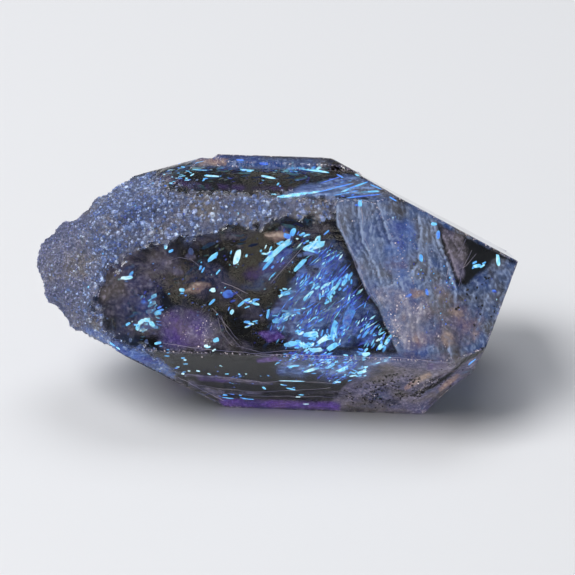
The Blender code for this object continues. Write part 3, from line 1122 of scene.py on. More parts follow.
# %% Lay the blue lobes
# x, y, length and width in pixels, angle in degrees, and opacity.
LOBES = (
    (325, 272, 26, 12, 55, 0.8), (309, 281, 28, 9, 35, 0.8), (265, 261, 22, 8, 50, 0.6),
    (338, 262, 18, 8, 60, 0.6), (350, 314, 30, 11, 60, 1.0), (343, 328, 24, 9, 62, 0.9),
    (334, 330, 26, 9, 80, 1.0), (356, 330, 20, 7, 55, 0.8), (318, 290, 34, 12, 48, 0.8),
    (331, 286, 26, 10, 55, 0.8), (300, 274, 26, 9, 45, 0.6), (276, 312, 22, 9, 35, 0.7),
    (290, 300, 26, 8, 42, 0.6), (305, 334, 34, 12, 12, 0.8), (292, 347, 26, 9, 5, 0.8),
    (322, 349, 34, 10, 8, 0.9), (345, 358, 36, 10, 12, 0.8), (366, 364, 30, 10, 16, 0.8),
    (306, 366, 26, 8, 12, 0.7), (372, 338, 22, 7, 55, 0.7), (326, 262, 30, 9, 30, 0.6),
    (310, 252, 30, 8, 20, 0.7), (282, 256, 34, 9, 42, 0.7), (386, 346, 18, 8, 50, 0.8),
    (143, 304, 18, 10, 60, 0.7), (150, 298, 16, 9, 40, 0.7), (147, 326, 22, 12, 10, 0.8),
    (290, 240, 14, 9, 60, 0.6),
)
LOBE_DEPTH = 1.25           # mm


def around(count):
    """Angles of points spread evenly round an outline."""
    return np.linspace(0, 2 * math.pi, count, endpoint=False)


def turned_place(x, y, angle, along, aside):
    """The pixel that lies along and beside a direction on the photograph, from another pixel."""
    turn = math.radians(angle)
    return (
        x + along * math.cos(turn) + aside * math.sin(turn),
        y - along * math.sin(turn) + aside * math.cos(turn),
    )


def lobe_outline(x, y, length, width, angle, number):
    """A long rounded outline with three bulges, which stand elsewhere on each lobe."""
    places = []
    for spin in around(12):
        reach = 0.5 * (1 + 0.3 * math.sin(3 * spin + number * 1.7))
        along, aside = length * reach * math.cos(spin), width * reach * math.sin(spin)
        places.append(turned_place(x, y, angle, along, aside))
    return places


lay_veils("blue_lobes", lobe_film, [
    (lobe_outline(*place, number), LOBE_DEPTH, dict(opacity=opacity, soft=3, step=2.2, seed=130 + number))
    for number, (*place, opacity) in enumerate(LOBES)
])

# %% Lay the crushed quartz
lay_veils("crushed_haze", crushed_film, (
    (((366, 286), (380, 280), (412, 286), (438, 300), (438, 352), (398, 356), (384, 326)),
     0.2, dict(opacity=0.75, soft=22, step=2.6, seed=41, folds=(
         (0.7, ((378, 296), (392, 318), (404, 344))), (0.6, ((400, 296), (410, 316), (404, 346))),
         (0.5, ((422, 300), (418, 326), (424, 350)))))),
    (((156, 310), (182, 304), (214, 308), (222, 338), (206, 356), (162, 356)),
     0.3, dict(opacity=0.4, soft=22, step=2.6, seed=42)),
    (((352, 256), (364, 262), (384, 292), (378, 300), (360, 280)),
     0.25, dict(opacity=0.5, soft=8, seed=43)),
))

# %% [markdown]
# ## Lavender veils and violet films
# Cracks with little oil are grey to lavender: small patches in the left window, long lines on the
# lower face, and the cloudy corner under the tip. Oil that glows violet lies in thin films along the
# lowest edge and between the blue drops.

# %% Lay the lavender veils
# Small grey patches in the left window: x, y, radius in pixels, and opacity.
PATCHES = (
    (133, 250, 7, 0.8), (127, 263, 6, 0.7), (106, 294, 8, 0.9), (110, 313, 7, 0.9), (116, 283, 5, 0.6),
    (168, 262, 9, 0.8), (177, 270, 8, 0.8), (160, 272, 6, 0.6), (147, 276, 7, 0.5), (150, 284, 5, 0.6),
    (136, 300, 10, 0.6), (124, 314, 5, 0.6), (191, 256, 6, 0.8), (196, 247, 5, 0.8), (158, 255, 5, 0.7),
    (204, 242, 5, 0.7), (240, 247, 4, 0.4), (284, 228, 6, 0.6), (185, 300, 5, 0.5), (232, 278, 4, 0.5),
    (142, 268, 4, 0.7), (119, 333, 6, 0.5), (146, 330, 9, 0.5), (154, 318, 7, 0.5),
)
# The fine lavender lines on the lower face.
LINE_LOOKS = dict(step=2.0, swell=0.03)


def patch_outline(x, y, radius, number):
    """A small wavy outline, each one different."""
    return [
        (x + radius * math.cos(turn) * (1 + 0.25 * math.sin(3 * turn + number)),
         y + radius * math.sin(turn) * (0.8 + 0.25 * math.sin(2 * turn + 2 * number)))
        for turn in around(10)
    ]


lay_veils("lavender_veils", grey_film, (
    (((370, 350), (452, 352), (490, 346), (470, 380), (444, 402), (426, 416), (326, 410), (334, 394),
      (356, 374)),
     0.3, dict(opacity=0.8, soft=5.0, step=2.8, seed=12, folds=(
         (0.8, ((486, 350), (463, 362), (450, 371), (440, 381), (409, 396))),
         (0.6, ((410, 388), (430, 377), (452, 366))), (0.4, ((340, 404), (380, 386), (420, 372)))))),
    (((154, 310), (182, 302), (214, 308), (224, 338), (206, 358), (160, 358), (152, 330)),
     0.5, dict(opacity=0.9, soft=16, seed=14)),
    (((184, 373), (215, 375), (262, 381), (300, 379), (304, 382), (262, 386), (215, 379), (186, 377)),
     0.15, dict(opacity=1.0, soft=2, seed=15, **LINE_LOOKS)),
    (((190, 385), (228, 390), (264, 392), (262, 396), (225, 394), (190, 389)),
     0.15, dict(opacity=0.9, soft=2, seed=44, **LINE_LOOKS)),
    (((296, 391), (345, 390), (350, 394), (300, 395)),
     0.15, dict(opacity=0.8, soft=3, seed=45, **LINE_LOOKS)),
    (((98, 272), (160, 262), (170, 300), (160, 340), (118, 340), (96, 306)),
     0.7, dict(opacity=0.66, soft=20, seed=11)),
    *[(patch_outline(*place, number), 0.45, dict(opacity=opacity, soft=4, step=2.2, seed=60 + number))
      for number, (*place, opacity) in enumerate(PATCHES)],
    (((104, 262), (142, 244), (200, 232), (290, 224), (334, 220), (336, 236), (290, 244), (240, 240),
      (190, 254), (170, 276), (120, 284), (100, 300)),
     1.0, dict(opacity=0.5, seed=16)),
    (((214, 300), (236, 334), (266, 352), (240, 356), (206, 350)), 0.6, dict(opacity=0.6, seed=17)),
    (((172, 374), (190, 386), (222, 402), (228, 396), (196, 380)),
     0.1, dict(opacity=0.8, soft=4, seed=18)),
    (((186, 250), (220, 262), (262, 300), (280, 330), (240, 320), (200, 300), (168, 296), (150, 270)),
     2.2, dict(opacity=0.55, seed=19)),
    (((404, 296), (440, 290), (480, 296), (492, 318), (482, 348), (440, 358), (398, 354)),
     0.2, dict(opacity=0.75, soft=18, step=2.8, seed=49)),
    (((437, 222), (462, 230), (472, 250), (464, 284), (454, 282), (444, 252)),
     0.25, dict(opacity=0.6, soft=7, step=2.0, seed=50, folds=(
         (0.9, ((438, 224), (452, 256), (460, 284))), (0.6, ((444, 226), (460, 252), (463, 280)))))),
))

# %% Lay the violet films
lay_veils("violet_films", violet_film, (
    (((216, 397), (300, 400), (341, 401), (341, 411), (250, 409), (222, 407)),
     0.12, dict(opacity=1.0, soft=3, step=3.0, seed=21)),
    (((188, 374), (230, 376), (268, 382), (262, 386), (200, 382)),
     0.2, dict(opacity=0.6, soft=4, seed=22)),
    (((254, 331), (276, 329), (288, 338), (268, 344)), 0.5, dict(opacity=1.0, soft=2, step=2.2, seed=23)),
    (((254, 358), (276, 356), (284, 361), (258, 364)), 0.2, dict(opacity=1.0, soft=2, step=2.2, seed=24)),
    (((168, 336), (176, 334), (186, 336), (188, 340), (174, 341)),
     0.5, dict(opacity=0.9, soft=4, step=2.0, seed=25)),
    (((176, 342), (190, 342), (196, 346), (180, 348)), 0.45, dict(opacity=0.8, soft=4, step=2.0, seed=24)),
    (((154, 312), (182, 304), (212, 310), (218, 340), (200, 354), (160, 352)),
     0.25, dict(opacity=0.6, soft=20, step=3.0, seed=30)),
    (((274, 322), (288, 324), (286, 331), (272, 329)), 1.0, dict(opacity=0.9, soft=3, step=2.5, seed=26)),
    (((424, 360), (452, 362), (450, 372), (428, 371)), 0.2, dict(opacity=0.6, soft=5, seed=27)),
    (((232, 270), (262, 262), (300, 250), (290, 268), (250, 284)),
     1.2, dict(opacity=0.5, soft=7, seed=28)),
    (((150, 168), (200, 182), (300, 186), (290, 192), (190, 190), (154, 180)),
     0.3, dict(opacity=0.35, soft=5, seed=29)),
))

# %% [markdown]
# ## Tan stains, painted tan reflections and painted dark films
# Iron in the brine left tan spots on some cracks. Two thin tan streaks low on the right are painted
# reflections. Thin dark films lie deeper than all the veils: painted shade that makes the windows dark
# between the drops.

# %% Lay the tan stains and the painted tan reflections
# Round stains at the sharp end: x, y and half width in pixels.
ROUND_STAINS = ((420, 340, 9), (448, 338, 8), (474, 336, 7), (456, 318, 10), (404, 320, 6))
STAIN_HEIGHT = 1.4          # height of a round stain beside its width


def stain_outline(x, y, radius):
    """An upright oval."""
    return [
        (x + radius * math.cos(turn), y + STAIN_HEIGHT * radius * math.sin(turn))
        for turn in around(10)
    ]


lay_veils("tan_stains_and_painted_reflections", tan_stain_and_reflection_film, (
    (((262, 231), (278, 228), (290, 232), (290, 240), (276, 243), (263, 240)),
     0.9, dict(opacity=0.9, soft=4, step=2.0, folds=((0.8, ((264, 236), (288, 235))),), seed=31)),
    (((180, 289), (194, 281), (212, 280), (212, 287), (200, 294), (184, 296)),
     1.2, dict(opacity=0.9, soft=6, step=2.0, folds=((0.5, ((184, 290), (210, 282))),), seed=32)),
    (((194, 158), (212, 156), (230, 158), (226, 166), (194, 167)),
     0.06, dict(opacity=0.9, soft=4, seed=33)),
    (((408, 288), (426, 287), (428, 298), (410, 300)), 0.3, dict(opacity=0.9, soft=4, step=2.5, seed=34)),
    # The next two tan streaks are painted reflections inside the lower face, not stains.
    (((402, 388), (414, 378), (430, 371), (433, 376), (418, 385), (406, 391)),
     0.15, dict(opacity=1.0, soft=3, seed=35, **LINE_LOOKS)),
    (((436, 390), (446, 380), (458, 372), (461, 376), (450, 386), (440, 393)),
     0.15, dict(opacity=1.0, soft=3, seed=46, **LINE_LOOKS)),
    (((452, 300), (482, 300), (486, 326), (470, 344), (452, 336)),
     0.2, dict(opacity=0.4, soft=16, seed=36)),
    (((428, 280), (450, 278), (454, 306), (440, 312)), 0.25, dict(opacity=0.35, soft=12, seed=37)),
    *[(stain_outline(*place), 0.12, dict(opacity=0.6, soft=8, step=2.4, swell=0.03, seed=140 + number))
      for number, place in enumerate(ROUND_STAINS)],
))

# %% Lay the dark films of painted shade
lay_veils("painted_shade_films", dark_painted_shade_film, (
    # Dark films of painted shade that make the windows dark behind the veils.
    (((430, 212), (519, 256), (500, 330), (484, 352), (400, 352), (352, 250), (340, 200), (380, 190)),
     1.5, dict(opacity=0.9, soft=5, seed=38)),
    (((440, 220), (518, 256), (500, 270), (470, 290), (452, 284), (438, 246)),
     0.9, dict(opacity=0.9, soft=5, seed=39)),
    (((150, 338), (262, 344), (400, 348), (456, 356), (408, 392), (340, 400), (226, 399), (190, 386)),
     0.8, dict(opacity=0.95, soft=6, seed=47)),
    # A thin dark line of painted shade along the crease low on the right.
    (((486, 346), (488, 350), (464, 364), (452, 375), (436, 387), (411, 398), (410, 395), (434, 383),
      (450, 371), (462, 359)),
     0.08, dict(opacity=1.0, soft=1.5, step=1.6, swell=0.02, seed=48)),
))

# %% [markdown]
# ## Petroleum that glows
# Each drop of petroleum sits in a pocket shaped like a tiny crystal, and shines cyan to white under
# the lamp that the photograph was taken by. It is a clear oil: a dark glossy body with a painted glow,
# an emission that stands in for that shine, whiter where its tone is higher.

# %% Make the petroleum
petroleum, tree, shader = new_material("fluorescent_petroleum")
tone = add_node(tree, "ShaderNodeAttribute", attribute_name="tone").outputs["Fac"]
place = add_node(tree, "ShaderNodeTexCoord").outputs["Object"]
swirl = add_node(tree, "ShaderNodeTexNoise", {"Vector": place, "Scale": per_mm(0.3), "Detail": 3.0})
mottled = add_node(
    tree, "ShaderNodeMath", {0: swirl.outputs["Fac"], 1: 0.7, 2: -0.35}, operation="MULTIPLY_ADD")
level = add_node(
    tree, "ShaderNodeMath", {0: tone, 1: mottled.outputs[0]}, operation="ADD", use_clamp=True)
ramp = add_node(tree, "ShaderNodeValToRGB", {"Fac": level.outputs[0]})
stops = ramp.color_ramp.elements
stops[0].position, stops[0].color = 0.0, linear("#30308c")
stops[1].position, stops[1].color = 1.0, linear("#d4f6ff")
for position, colour in ((0.2, "#3c52b8"), (0.4, "#5684ec"), (0.58, "#5cb0f6"), (0.8, "#86dcff")):
    stops.new(position).color = linear(colour)
# Painted glow: the emission colour and strength stand in for the fluorescence of the oil.
tree.links.new(ramp.outputs["Color"], shader.inputs["Emission Color"])
shader.inputs["Emission Strength"].default_value = 1.25
shader.inputs["Base Color"].default_value = linear("#20304c")
shader.inputs["Roughness"].default_value = 0.15
shader.inputs["IOR"].default_value = 1.45
print("colours from dark to bright oil:", len(stops))

# %% [markdown]
# ## The large drops
# The large drops are placed one by one from the photograph. A pocket is a stretched ball with small
# flats, dented at random. Around most of them lie a few strays that point nearly the same way, and
# in the brightest places whole knots of small drops, which are spread by seeded chance.

# %% Measure the large drops
# x and y on the photograph, length and width in pixels, angle in degrees, depth in mm, and glow.
DROPS = (
    (237, 257, 15, 7, 72, 0.7, 0.95), (213, 257, 13, 5, 40, 0.7, 0.7), (123, 249, 7, 3, 66, 0.5, 0.9),
    (166, 246, 7, 4, 80, 0.5, 0.9), (171, 251, 5, 3, 30, 0.5, 0.6), (127, 278, 12, 4, 8, 0.7, 0.95),
    (131, 274, 6, 3, 50, 0.8, 0.5), (277, 251, 33, 6, 41, 1.1, 0.8), (268, 264, 15, 4, 48, 1.0, 0.6),
    (286, 245, 12, 4, 30, 1.3, 0.7), (314, 246, 22, 8, 18, 1.0, 0.85), (319, 240, 9, 3, 80, 1.0, 0.8),
    (309, 250, 12, 3, -20, 1.0, 0.8), (300, 265, 16, 5, 46, 1.0, 0.75), (293, 232, 8, 6, 60, 0.6, 0.6),
    (287, 236, 5, 9, 70, 0.7, 0.5), (213, 290, 5, 5, 0, 0.6, 1.0), (182, 290, 5, 4, 0, 0.9, 0.8),
    (228, 294, 11, 9, 10, 1.8, 0.3), (212, 302, 8, 3, 45, 0.7, 0.6), (203, 270, 6, 2, 60, 0.7, 0.6),
    (218, 272, 6, 2, 50, 0.7, 0.7), (154, 296, 6, 4, 30, 0.9, 0.7), (152, 304, 9, 4, 40, 0.9, 0.75),
    (149, 311, 6, 4, 20, 0.9, 0.6), (158, 313, 7, 5, 10, 0.9, 0.7), (143, 302, 5, 4, 0, 1.1, 0.4),
    (138, 327, 7, 5, 70, 0.7, 0.8), (141, 322, 7, 5, 40, 0.7, 0.85), (147, 320, 7, 5, 0, 0.7, 0.9),
    (152, 324, 7, 5, -50, 0.7, 0.8), (155, 327, 6, 4, -10, 0.8, 0.6), (144, 330, 6, 3, 0, 0.6, 0.9),
    (158, 343, 7, 3, 10, 0.4, 0.7), (128, 324, 5, 3, 30, 0.6, 0.7), (111, 345, 9, 3, -28, 0.15, 0.7),
    (117, 349, 6, 3, -28, 0.15, 0.8), (183, 358, 4, 3, 0, 0.4, 0.7), (167, 356, 5, 2, 0, 0.4, 0.6),
    (241, 304, 8, 3, 40, 0.9, 0.75), (247, 300, 7, 3, 20, 0.9, 0.7), (256, 304, 7, 3, -10, 0.9, 0.8),
    (232, 312, 5, 4, 60, 0.8, 0.8), (247, 322, 6, 3, 0, 0.8, 0.6), (216, 340, 6, 5, 20, 0.5, 0.75),
    (287, 293, 13, 5, 15, 1.2, 0.7), (303, 282, 12, 3, 50, 1.2, 0.7), (268, 314, 9, 3, 80, 1.0, 0.7),
    (280, 320, 16, 6, 15, 1.1, 0.7), (291, 311, 12, 4, 25, 1.2, 0.6), (308, 296, 14, 4, 45, 1.2, 0.8),
    (325, 286, 12, 4, 35, 1.1, 0.85), (331, 292, 14, 4, 55, 1.1, 0.8), (338, 284, 14, 3, 60, 1.1, 0.7),
    (349, 316, 20, 9, 62, 1.4, 0.5), (344, 326, 16, 5, 58, 1.3, 0.45), (334, 330, 18, 7, 80, 1.0, 0.65),
    (311, 334, 14, 6, 10, 0.7, 0.8), (322, 340, 12, 5, 40, 0.7, 0.9), (291, 344, 13, 6, 10, 0.6, 0.7),
    (303, 345, 10, 5, -20, 0.6, 0.8), (316, 350, 12, 5, 5, 0.5, 0.85), (332, 347, 12, 6, 30, 0.5, 0.7),
    (366, 333, 12, 3, 55, 1.0, 0.5), (373, 330, 10, 2, 55, 1.0, 0.5), (388, 340, 12, 4, 55, 0.8, 0.75),
    (380, 347, 6, 4, 60, 0.6, 0.8), (366, 354, 8, 4, 5, 0.3, 0.9), (311, 370, 18, 6, 18, 0.3, 0.85),
    (293, 366, 13, 4, 4, 0.3, 0.75), (330, 366, 14, 6, 30, 0.3, 0.7), (342, 370, 12, 7, 40, 0.3, 0.8),
    (362, 372, 11, 6, 20, 0.3, 0.85), (378, 363, 14, 3, 20, 0.3, 0.7), (386, 361, 12, 3, 18, 0.3, 0.7),
    (292, 381, 24, 2, -2, 0.15, 0.85), (338, 382, 6, 3, 0, 0.2, 0.8), (264, 388, 6, 3, -40, 0.2, 0.7),
    (291, 389, 10, 3, -12, 0.2, 0.7), (228, 398, 12, 2, -6, 0.1, 0.6), (248, 399, 12, 2, -4, 0.1, 0.6),
    (182, 176, 7, 2, 4, 0.15, 0.85), (171, 183, 8, 3, -20, 0.15, 0.75), (187, 180, 5, 2, 0, 0.15, 0.8),
    (212, 176, 15, 4, -4, 0.2, 0.9), (200, 170, 14, 2, -3, 0.15, 0.8), (247, 170, 13, 3, -3, 0.15, 0.85),
    (268, 177, 16, 5, -12, 0.2, 0.85), (240, 160, 8, 4, 0, 0.1, 0.35), (264, 164, 9, 3, 0, 0.1, 0.3),
    (183, 167, 10, 3, -20, 0.1, 0.6), (200, 162, 10, 2, 15, 0.1, 0.6), (312, 170, 34, 5, -9, 0.15, 0.85),
    (293, 168, 12, 3, 0, 0.15, 0.6), (298, 194, 44, 6, 7, 0.15, 0.85), (352, 188, 28, 5, 20, 0.2, 0.75),
    (368, 192, 22, 5, 4, 0.2, 0.7), (334, 188, 40, 3, 14, 0.12, 0.5), (356, 186, 30, 3, 20, 0.12, 0.55),
    (364, 196, 34, 3, 6, 0.12, 0.35), (346, 193, 26, 2, 10, 0.12, 0.5), (330, 180, 24, 2, 18, 0.12, 0.3),
    (376, 187, 16, 2, -24, 0.1, 0.5), (340, 176, 10, 3, -30, 0.1, 0.45), (278, 184, 6, 2, 60, 0.2, 0.7),
    (357, 175, 5, 3, -30, 0.1, 0.8), (498, 260, 4, 14, 0, 0.3, 0.85), (477, 266, 9, 4, 10, 0.5, 0.75),
    (484, 263, 5, 2, 30, 0.4, 0.6), (434, 224, 6, 4, 0, 0.3, 0.7), (438, 235, 4, 10, -15, 0.4, 0.5),
    (421, 258, 4, 8, 0, 0.4, 0.6), (360, 204, 4, 6, 0, 0.3, 0.7), (494, 291, 4, 3, 0, 0.3, 0.4),
    (408, 296, 8, 3, 30, 0.3, 0.4), (427, 292, 3, 8, 10, 0.3, 0.35), (472, 362, 10, 3, 40, 0.1, 0.5),
    (393, 199, 8, 2, -30, 0.1, 0.5), (185, 360, 3, 3, 0, 0.15, 1.0), (178, 367, 3, 2, 0, 0.1, 0.9),
    (183, 374, 3, 3, 0, 0.1, 1.0), (189, 371, 3, 2, 0, 0.1, 0.9), (198, 371, 4, 3, -10, 0.1, 1.0),
    (209, 374, 4, 2, -20, 0.1, 0.9), (227, 374, 4, 2, 0, 0.1, 0.8), (239, 374, 2, 2, 0, 0.1, 0.9),
    (246, 374, 2, 2, 0, 0.1, 0.9), (206, 346, 4, 3, 0, 0.2, 1.0), (214, 350, 4, 2, 30, 0.2, 1.0),
    (225, 395, 5, 3, 0, 0.1, 0.55), (298, 397, 5, 2, 0, 0.08, 1.0), (306, 404, 6, 2, 0, 0.08, 1.0),
    (337, 382, 4, 2, 0, 0.1, 0.9),
)
# Knots of small drops: x, y, length and width in pixels, angle in degrees, depth in mm, and number.
KNOTS = (
    (345, 281, 14, 10, 60, 0.9, 14), (329, 295, 26, 16, 55, 1.0, 22), (289, 313, 30, 12, 15, 0.9, 18),
    (285, 293, 16, 8, 15, 1.0, 7), (251, 303, 18, 8, 20, 0.8, 6), (311, 343, 30, 14, 10, 0.5, 26),
    (331, 337, 12, 20, 80, 0.7, 12), (299, 333, 16, 10, 20, 0.7, 9), (363, 352, 14, 8, 20, 0.5, 10),
    (382, 341, 16, 12, 50, 0.7, 12), (329, 364, 36, 12, 22, 0.25, 20), (363, 372, 20, 12, 40, 0.25, 16),
    (311, 366, 20, 8, 20, 0.25, 8), (353, 374, 16, 6, 10, 0.25, 8), (377, 363, 20, 6, 20, 0.25, 7),
    (273, 249, 26, 10, 35, 0.9, 10), (298, 238, 20, 6, 20, 0.9, 6), (315, 243, 18, 10, 40, 0.9, 8),
    (150, 303, 18, 20, 40, 0.8, 10), (145, 325, 24, 14, 10, 0.7, 10), (252, 326, 20, 8, 10, 0.9, 5),
    (478, 265, 12, 6, 20, 0.4, 6), (300, 168, 60, 6, 0, 0.15, 8), (190, 176, 50, 14, 0, 0.15, 12),
)
print("large drops:", len(DROPS), "and drops in knots:", sum(knot[-1] for knot in KNOTS))

# %% Place the large drops
PIXEL = 1 / 16              # mm
LARGE_DROP = 9              # pixels, the length above which a drop has more strays
FLATTENED = 0.45            # thickness of a pocket beside its width
SLIM = 0.85                 # a glow looks wider on a photograph than the pocket is
BLOCKY = 0.45               # how far a pocket goes from a ball to a block


def pocket(shape, place, along, across, sizes, glow, rng):
    """Adds one pocket of petroleum to a mesh, stretched along a direction, with its glow."""
    out = along.cross(across).normalized()
    across = out.cross(along).normalized()
    layer = shape.verts.layers.float.get("tone") or shape.verts.layers.float.new("tone")
    made = bmesh.ops.create_icosphere(shape, subdivisions=2, radius=0.5)["verts"]
    for corner in made:
        blocky = corner.co.lerp(corner.co * 0.5 / max(abs(part) for part in corner.co), BLOCKY)
        length, width, thickness = (part * size for part, size in zip(blocky, sizes))
        dent = 1 + rng.uniform(-0.14, 0.14)
        corner.co = place + (along * length + across * width + out * thickness) * dent
        corner[layer] = glow + rng.uniform(-0.06, 0.06)


rng = random.Random(SEED)
strays = []
for x, y, length, width, angle, depth, glow in DROPS:
    for _ in range(rng.randint(1, 3) if length > LARGE_DROP else rng.randint(0, 1)):
        strays.append((
            x + rng.uniform(-0.7, 0.7) * length, y + rng.uniform(-0.8, 0.8) * max(width, 5),
            rng.uniform(2.5, 6.0), rng.uniform(1.2, 2.6), angle + rng.uniform(-14, 14),
            depth + rng.uniform(-0.05, 0.2), glow * rng.uniform(0.4, 1.0)))
for x, y, length, width, angle, depth, number in KNOTS:
    for _ in range(number):
        along = rng.gauss(0, length / 4)
        aside = rng.gauss(0, width / 4)
        strays.append((
            *turned_place(x, y, angle, along, aside),
            rng.uniform(2.2, 7.0), rng.uniform(1.3, 2.6), angle + rng.gauss(0, 22),
            depth + rng.uniform(-0.08, 0.15), rng.uniform(0.4, 0.95)))
shape = bmesh.new()
for x, y, length, width, angle, depth, glow in [*DROPS, *strays]:
    place, normal = inside(x, y, depth)
    if place is None:
        continue
    aside, _ = inside(*turned_place(x, y, angle, 2, 0), depth)
    along = (aside - place).normalized() if aside else Vector((1, 0, 0))
    width *= SLIM
    sizes = (length * PIXEL * MM, width * PIXEL * MM, min(length, width) * FLATTENED * PIXEL * MM)
    pocket(shape, place, along, normal.cross(along), sizes, glow, rng)
drops_mesh = to_mesh(shape, "petroleum_drops", petroleum)
drops_mesh.shade_smooth()
add_piece("petroleum_drops", drops_mesh)

# %% [markdown]
# ## Swarms of small drops
# Between the large drops lie thousands of small ones. They line the healed cracks and point the same
# way, because the cracks opened in one direction. The strewing tree lays them on guide sheets: each
# has its outline, its depth and the direction in which its drops point on the photograph.

# %% Strew the swarms
def guide_sheet(outline, depth, soft=22.0, swell=0.5, seed=0):
    """A sheet to strew on, at a depth in mm behind an outline in pixels. Its cover is in clumps."""
    shape = bmesh.new()
    veil_sheet(shape, outline, depth, opacity=1.0, soft=soft, swell=swell, step=3.0, seed=seed)
    cover = shape.verts.layers.float["cover"]
    for corner in shape.verts:
        corner[cover] *= 0.06 + 1.8 * fade(noise.noise(corner.co / (CLUMP * MM)), 0.0, 0.35)
    return to_mesh(shape, "guide")


def pointing(outline, depth, angle):
    """The direction inside the stone that shows as an angle on the photograph."""
    x, y = np.array(outline, float).mean(0)
    start, _ = inside(x, y, depth)
    end, _ = inside(*turned_place(x, y, angle, 3, 0), depth)
    return tuple((end - start).normalized())


MIDDLE_SWARM = (
    (262, 316), (284, 286), (298, 262), (320, 240), (342, 240), (356, 268), (370, 296), (388, 318),
    (398, 348), (300, 354), (270, 340))
LOWER_SWARM = ((262, 354), (290, 346), (340, 350), (404, 354), (392, 368), (352, 386), (300, 384))
UPPER_SWARM = ((238, 288), (256, 264), (282, 238), (330, 230), (340, 240), (300, 258), (262, 296))
LEFT_SWARM = ((134, 292), (158, 288), (170, 310), (160, 334), (132, 332))
TOP_SWARM = ((160, 172), (190, 168), (330, 168), (372, 184), (376, 194), (330, 190), (190, 188))
LOW_ROWS = ((170, 358), (250, 362), (290, 372), (340, 392), (250, 396), (186, 380))
TIP = ((380, 200), (440, 216), (470, 290), (500, 264), (514, 268), (500, 320), (480, 350), (400, 350))
WINDOW = (
    (104, 270), (160, 250), (250, 232), (334, 228), (350, 262), (368, 300), (390, 344), (240, 348),
    (130, 334), (98, 306))
# Name, outline, depth in mm, angle in degrees, number in a square mm, size in mm, and seed.
SWARMS = (
    ("middle_swarm", MIDDLE_SWARM, 1.0, 52, 30.0, (0.34, 0.08, 0.05), 41),
    ("deep_swarm", MIDDLE_SWARM, 1.9, 58, 12.0, (0.5, 0.12, 0.05), 48),
    ("lower_swarm", LOWER_SWARM, 0.3, 24, 60.0, (0.3, 0.1, 0.06), 42),
    ("upper_swarm", UPPER_SWARM, 1.2, 42, 10.0, (0.4, 0.07, 0.05), 43),
    ("left_swarm", LEFT_SWARM, 1.0, 40, 8.0, (0.2, 0.12, 0.08), 44),
    ("top_swarm", TOP_SWARM, 0.2, 2, 9.0, (0.2, 0.06, 0.05), 45),
    ("low_rows", LOW_ROWS, 0.2, -6, 9.0, (0.14, 0.07, 0.05), 46),
    ("window_dust", WINDOW, 0.9, 30, 5.0, (0.11, 0.06, 0.05), 47),
    ("blue_needles", MIDDLE_SWARM, 1.4, 50, 7.0, (0.95, 0.06, 0.05), 49),
    ("tip_dust", TIP, 0.14, 60, 6.0, (0.1, 0.06, 0.05), 53),
)
for name, outline, depth, angle, per_mm2, size, seed in SWARMS:
    guide = guide_sheet(outline, depth, swell=min(0.5, depth * 0.4), seed=seed)
    strew(
        name, flake_tree, guide, per_mm2, size, petroleum,
        spread=0.65, tilt=0.5, spin=0.35, flow=pointing(outline, depth, angle), lift=depth * 0.3,
        deepest=-depth * 0.4, seed=seed)

strew(
    "frost_sparks", crumb_tree, band, 1.6, (0.1, 0.07, 0.06), petroleum, tilt=1.0,
    lift=-0.02, deepest=-0.06, seed=50)

# %% [markdown]
# ## Crushed quartz and solid bitumen
# Where the cracks meet, the quartz is crushed to pale grains, whose sparkle is painted glints. Some
# pockets hold black bitumen, the solid that petroleum leaves, which shows as specks in the haze at the
# sharp end and low on the right. Bitumen is coal-black and has a dull gloss. Both are strewn like the
# sugar.

# %% Strew the crushed quartz
# Name, outline, number in a square mm, size in mm, and seed.
CRUSHED = (
    ("crushed_core", ((378, 292), (404, 286), (428, 298), (424, 332), (404, 356), (386, 338)),
     60.0, 0.12, 61),
    ("crushed_seam", ((352, 262), (362, 258), (378, 290), (394, 320), (384, 322), (364, 296)),
     22.0, 0.1, 62),
    ("crushed_ribs", ((420, 212), (446, 240), (460, 290), (452, 352), (432, 352), (428, 280)),
     14.0, 0.1, 63),
    ("crushed_tip", ((462, 300), (500, 290), (486, 346), (458, 350)), 7.0, 0.1, 64),
    ("crushed_left", ((158, 308), (212, 306), (224, 340), (204, 358), (160, 354)), 36.0, 0.09, 65),
    ("crushed_low", ((330, 394), (356, 376), (450, 366), (468, 362), (440, 398), (424, 412), (328, 408)),
     16.0, 0.09, 67),
    ("haze_grains", ((338, 204), (378, 198), (432, 214), (430, 300), (380, 300), (352, 252)),
     7.0, 0.08, 66),
)
for name, outline, per_mm2, size, seed in CRUSHED:
    strew(
        name, flake_tree, guide_sheet(outline, 0.14, soft=16, swell=0.05, seed=seed),
        per_mm2, (size, size * 0.75, size * 0.5), crushed, tilt=1.0, deepest=-0.1, seed=seed)

# %% Strew the bitumen
bitumen, tree, shader = new_material("black_bitumen")
tree.links.new(
    drifting_colour(tree, ("#14100e", "#1c1816", "#2a2420"), 0.3, 0.2), shader.inputs["Base Color"])
shader.inputs["Roughness"].default_value = 0.4

TIP_SPECKS = (
    (452, 284), (468, 284), (494, 264), (512, 270), (504, 304), (484, 346), (454, 356), (446, 320))
LOW_SPECKS = ((330, 392), (380, 370), (440, 368), (470, 362), (460, 386), (424, 410), (336, 406))
for name, outline, per_mm2, seed in (
        ("tip_specks", TIP_SPECKS, 9.0, 51), ("low_specks", LOW_SPECKS, 20.0, 52)):
    strew(
        name, crumb_tree, guide_sheet(outline, 0.08, soft=8, swell=0.02, seed=seed), per_mm2,
        (0.16, 0.11, 0.08), bitumen, spread=0.7, tilt=1.0, deepest=-0.03, seed=seed)

# %% [markdown]
# ## Fine fibres
# Hair-fine fibres, which are tube-shaped cavities and the rims of cracks, run through the windows.
# They are lines of a few measured points that sway a little on their way. A tree turns each line
# into a thin tube.

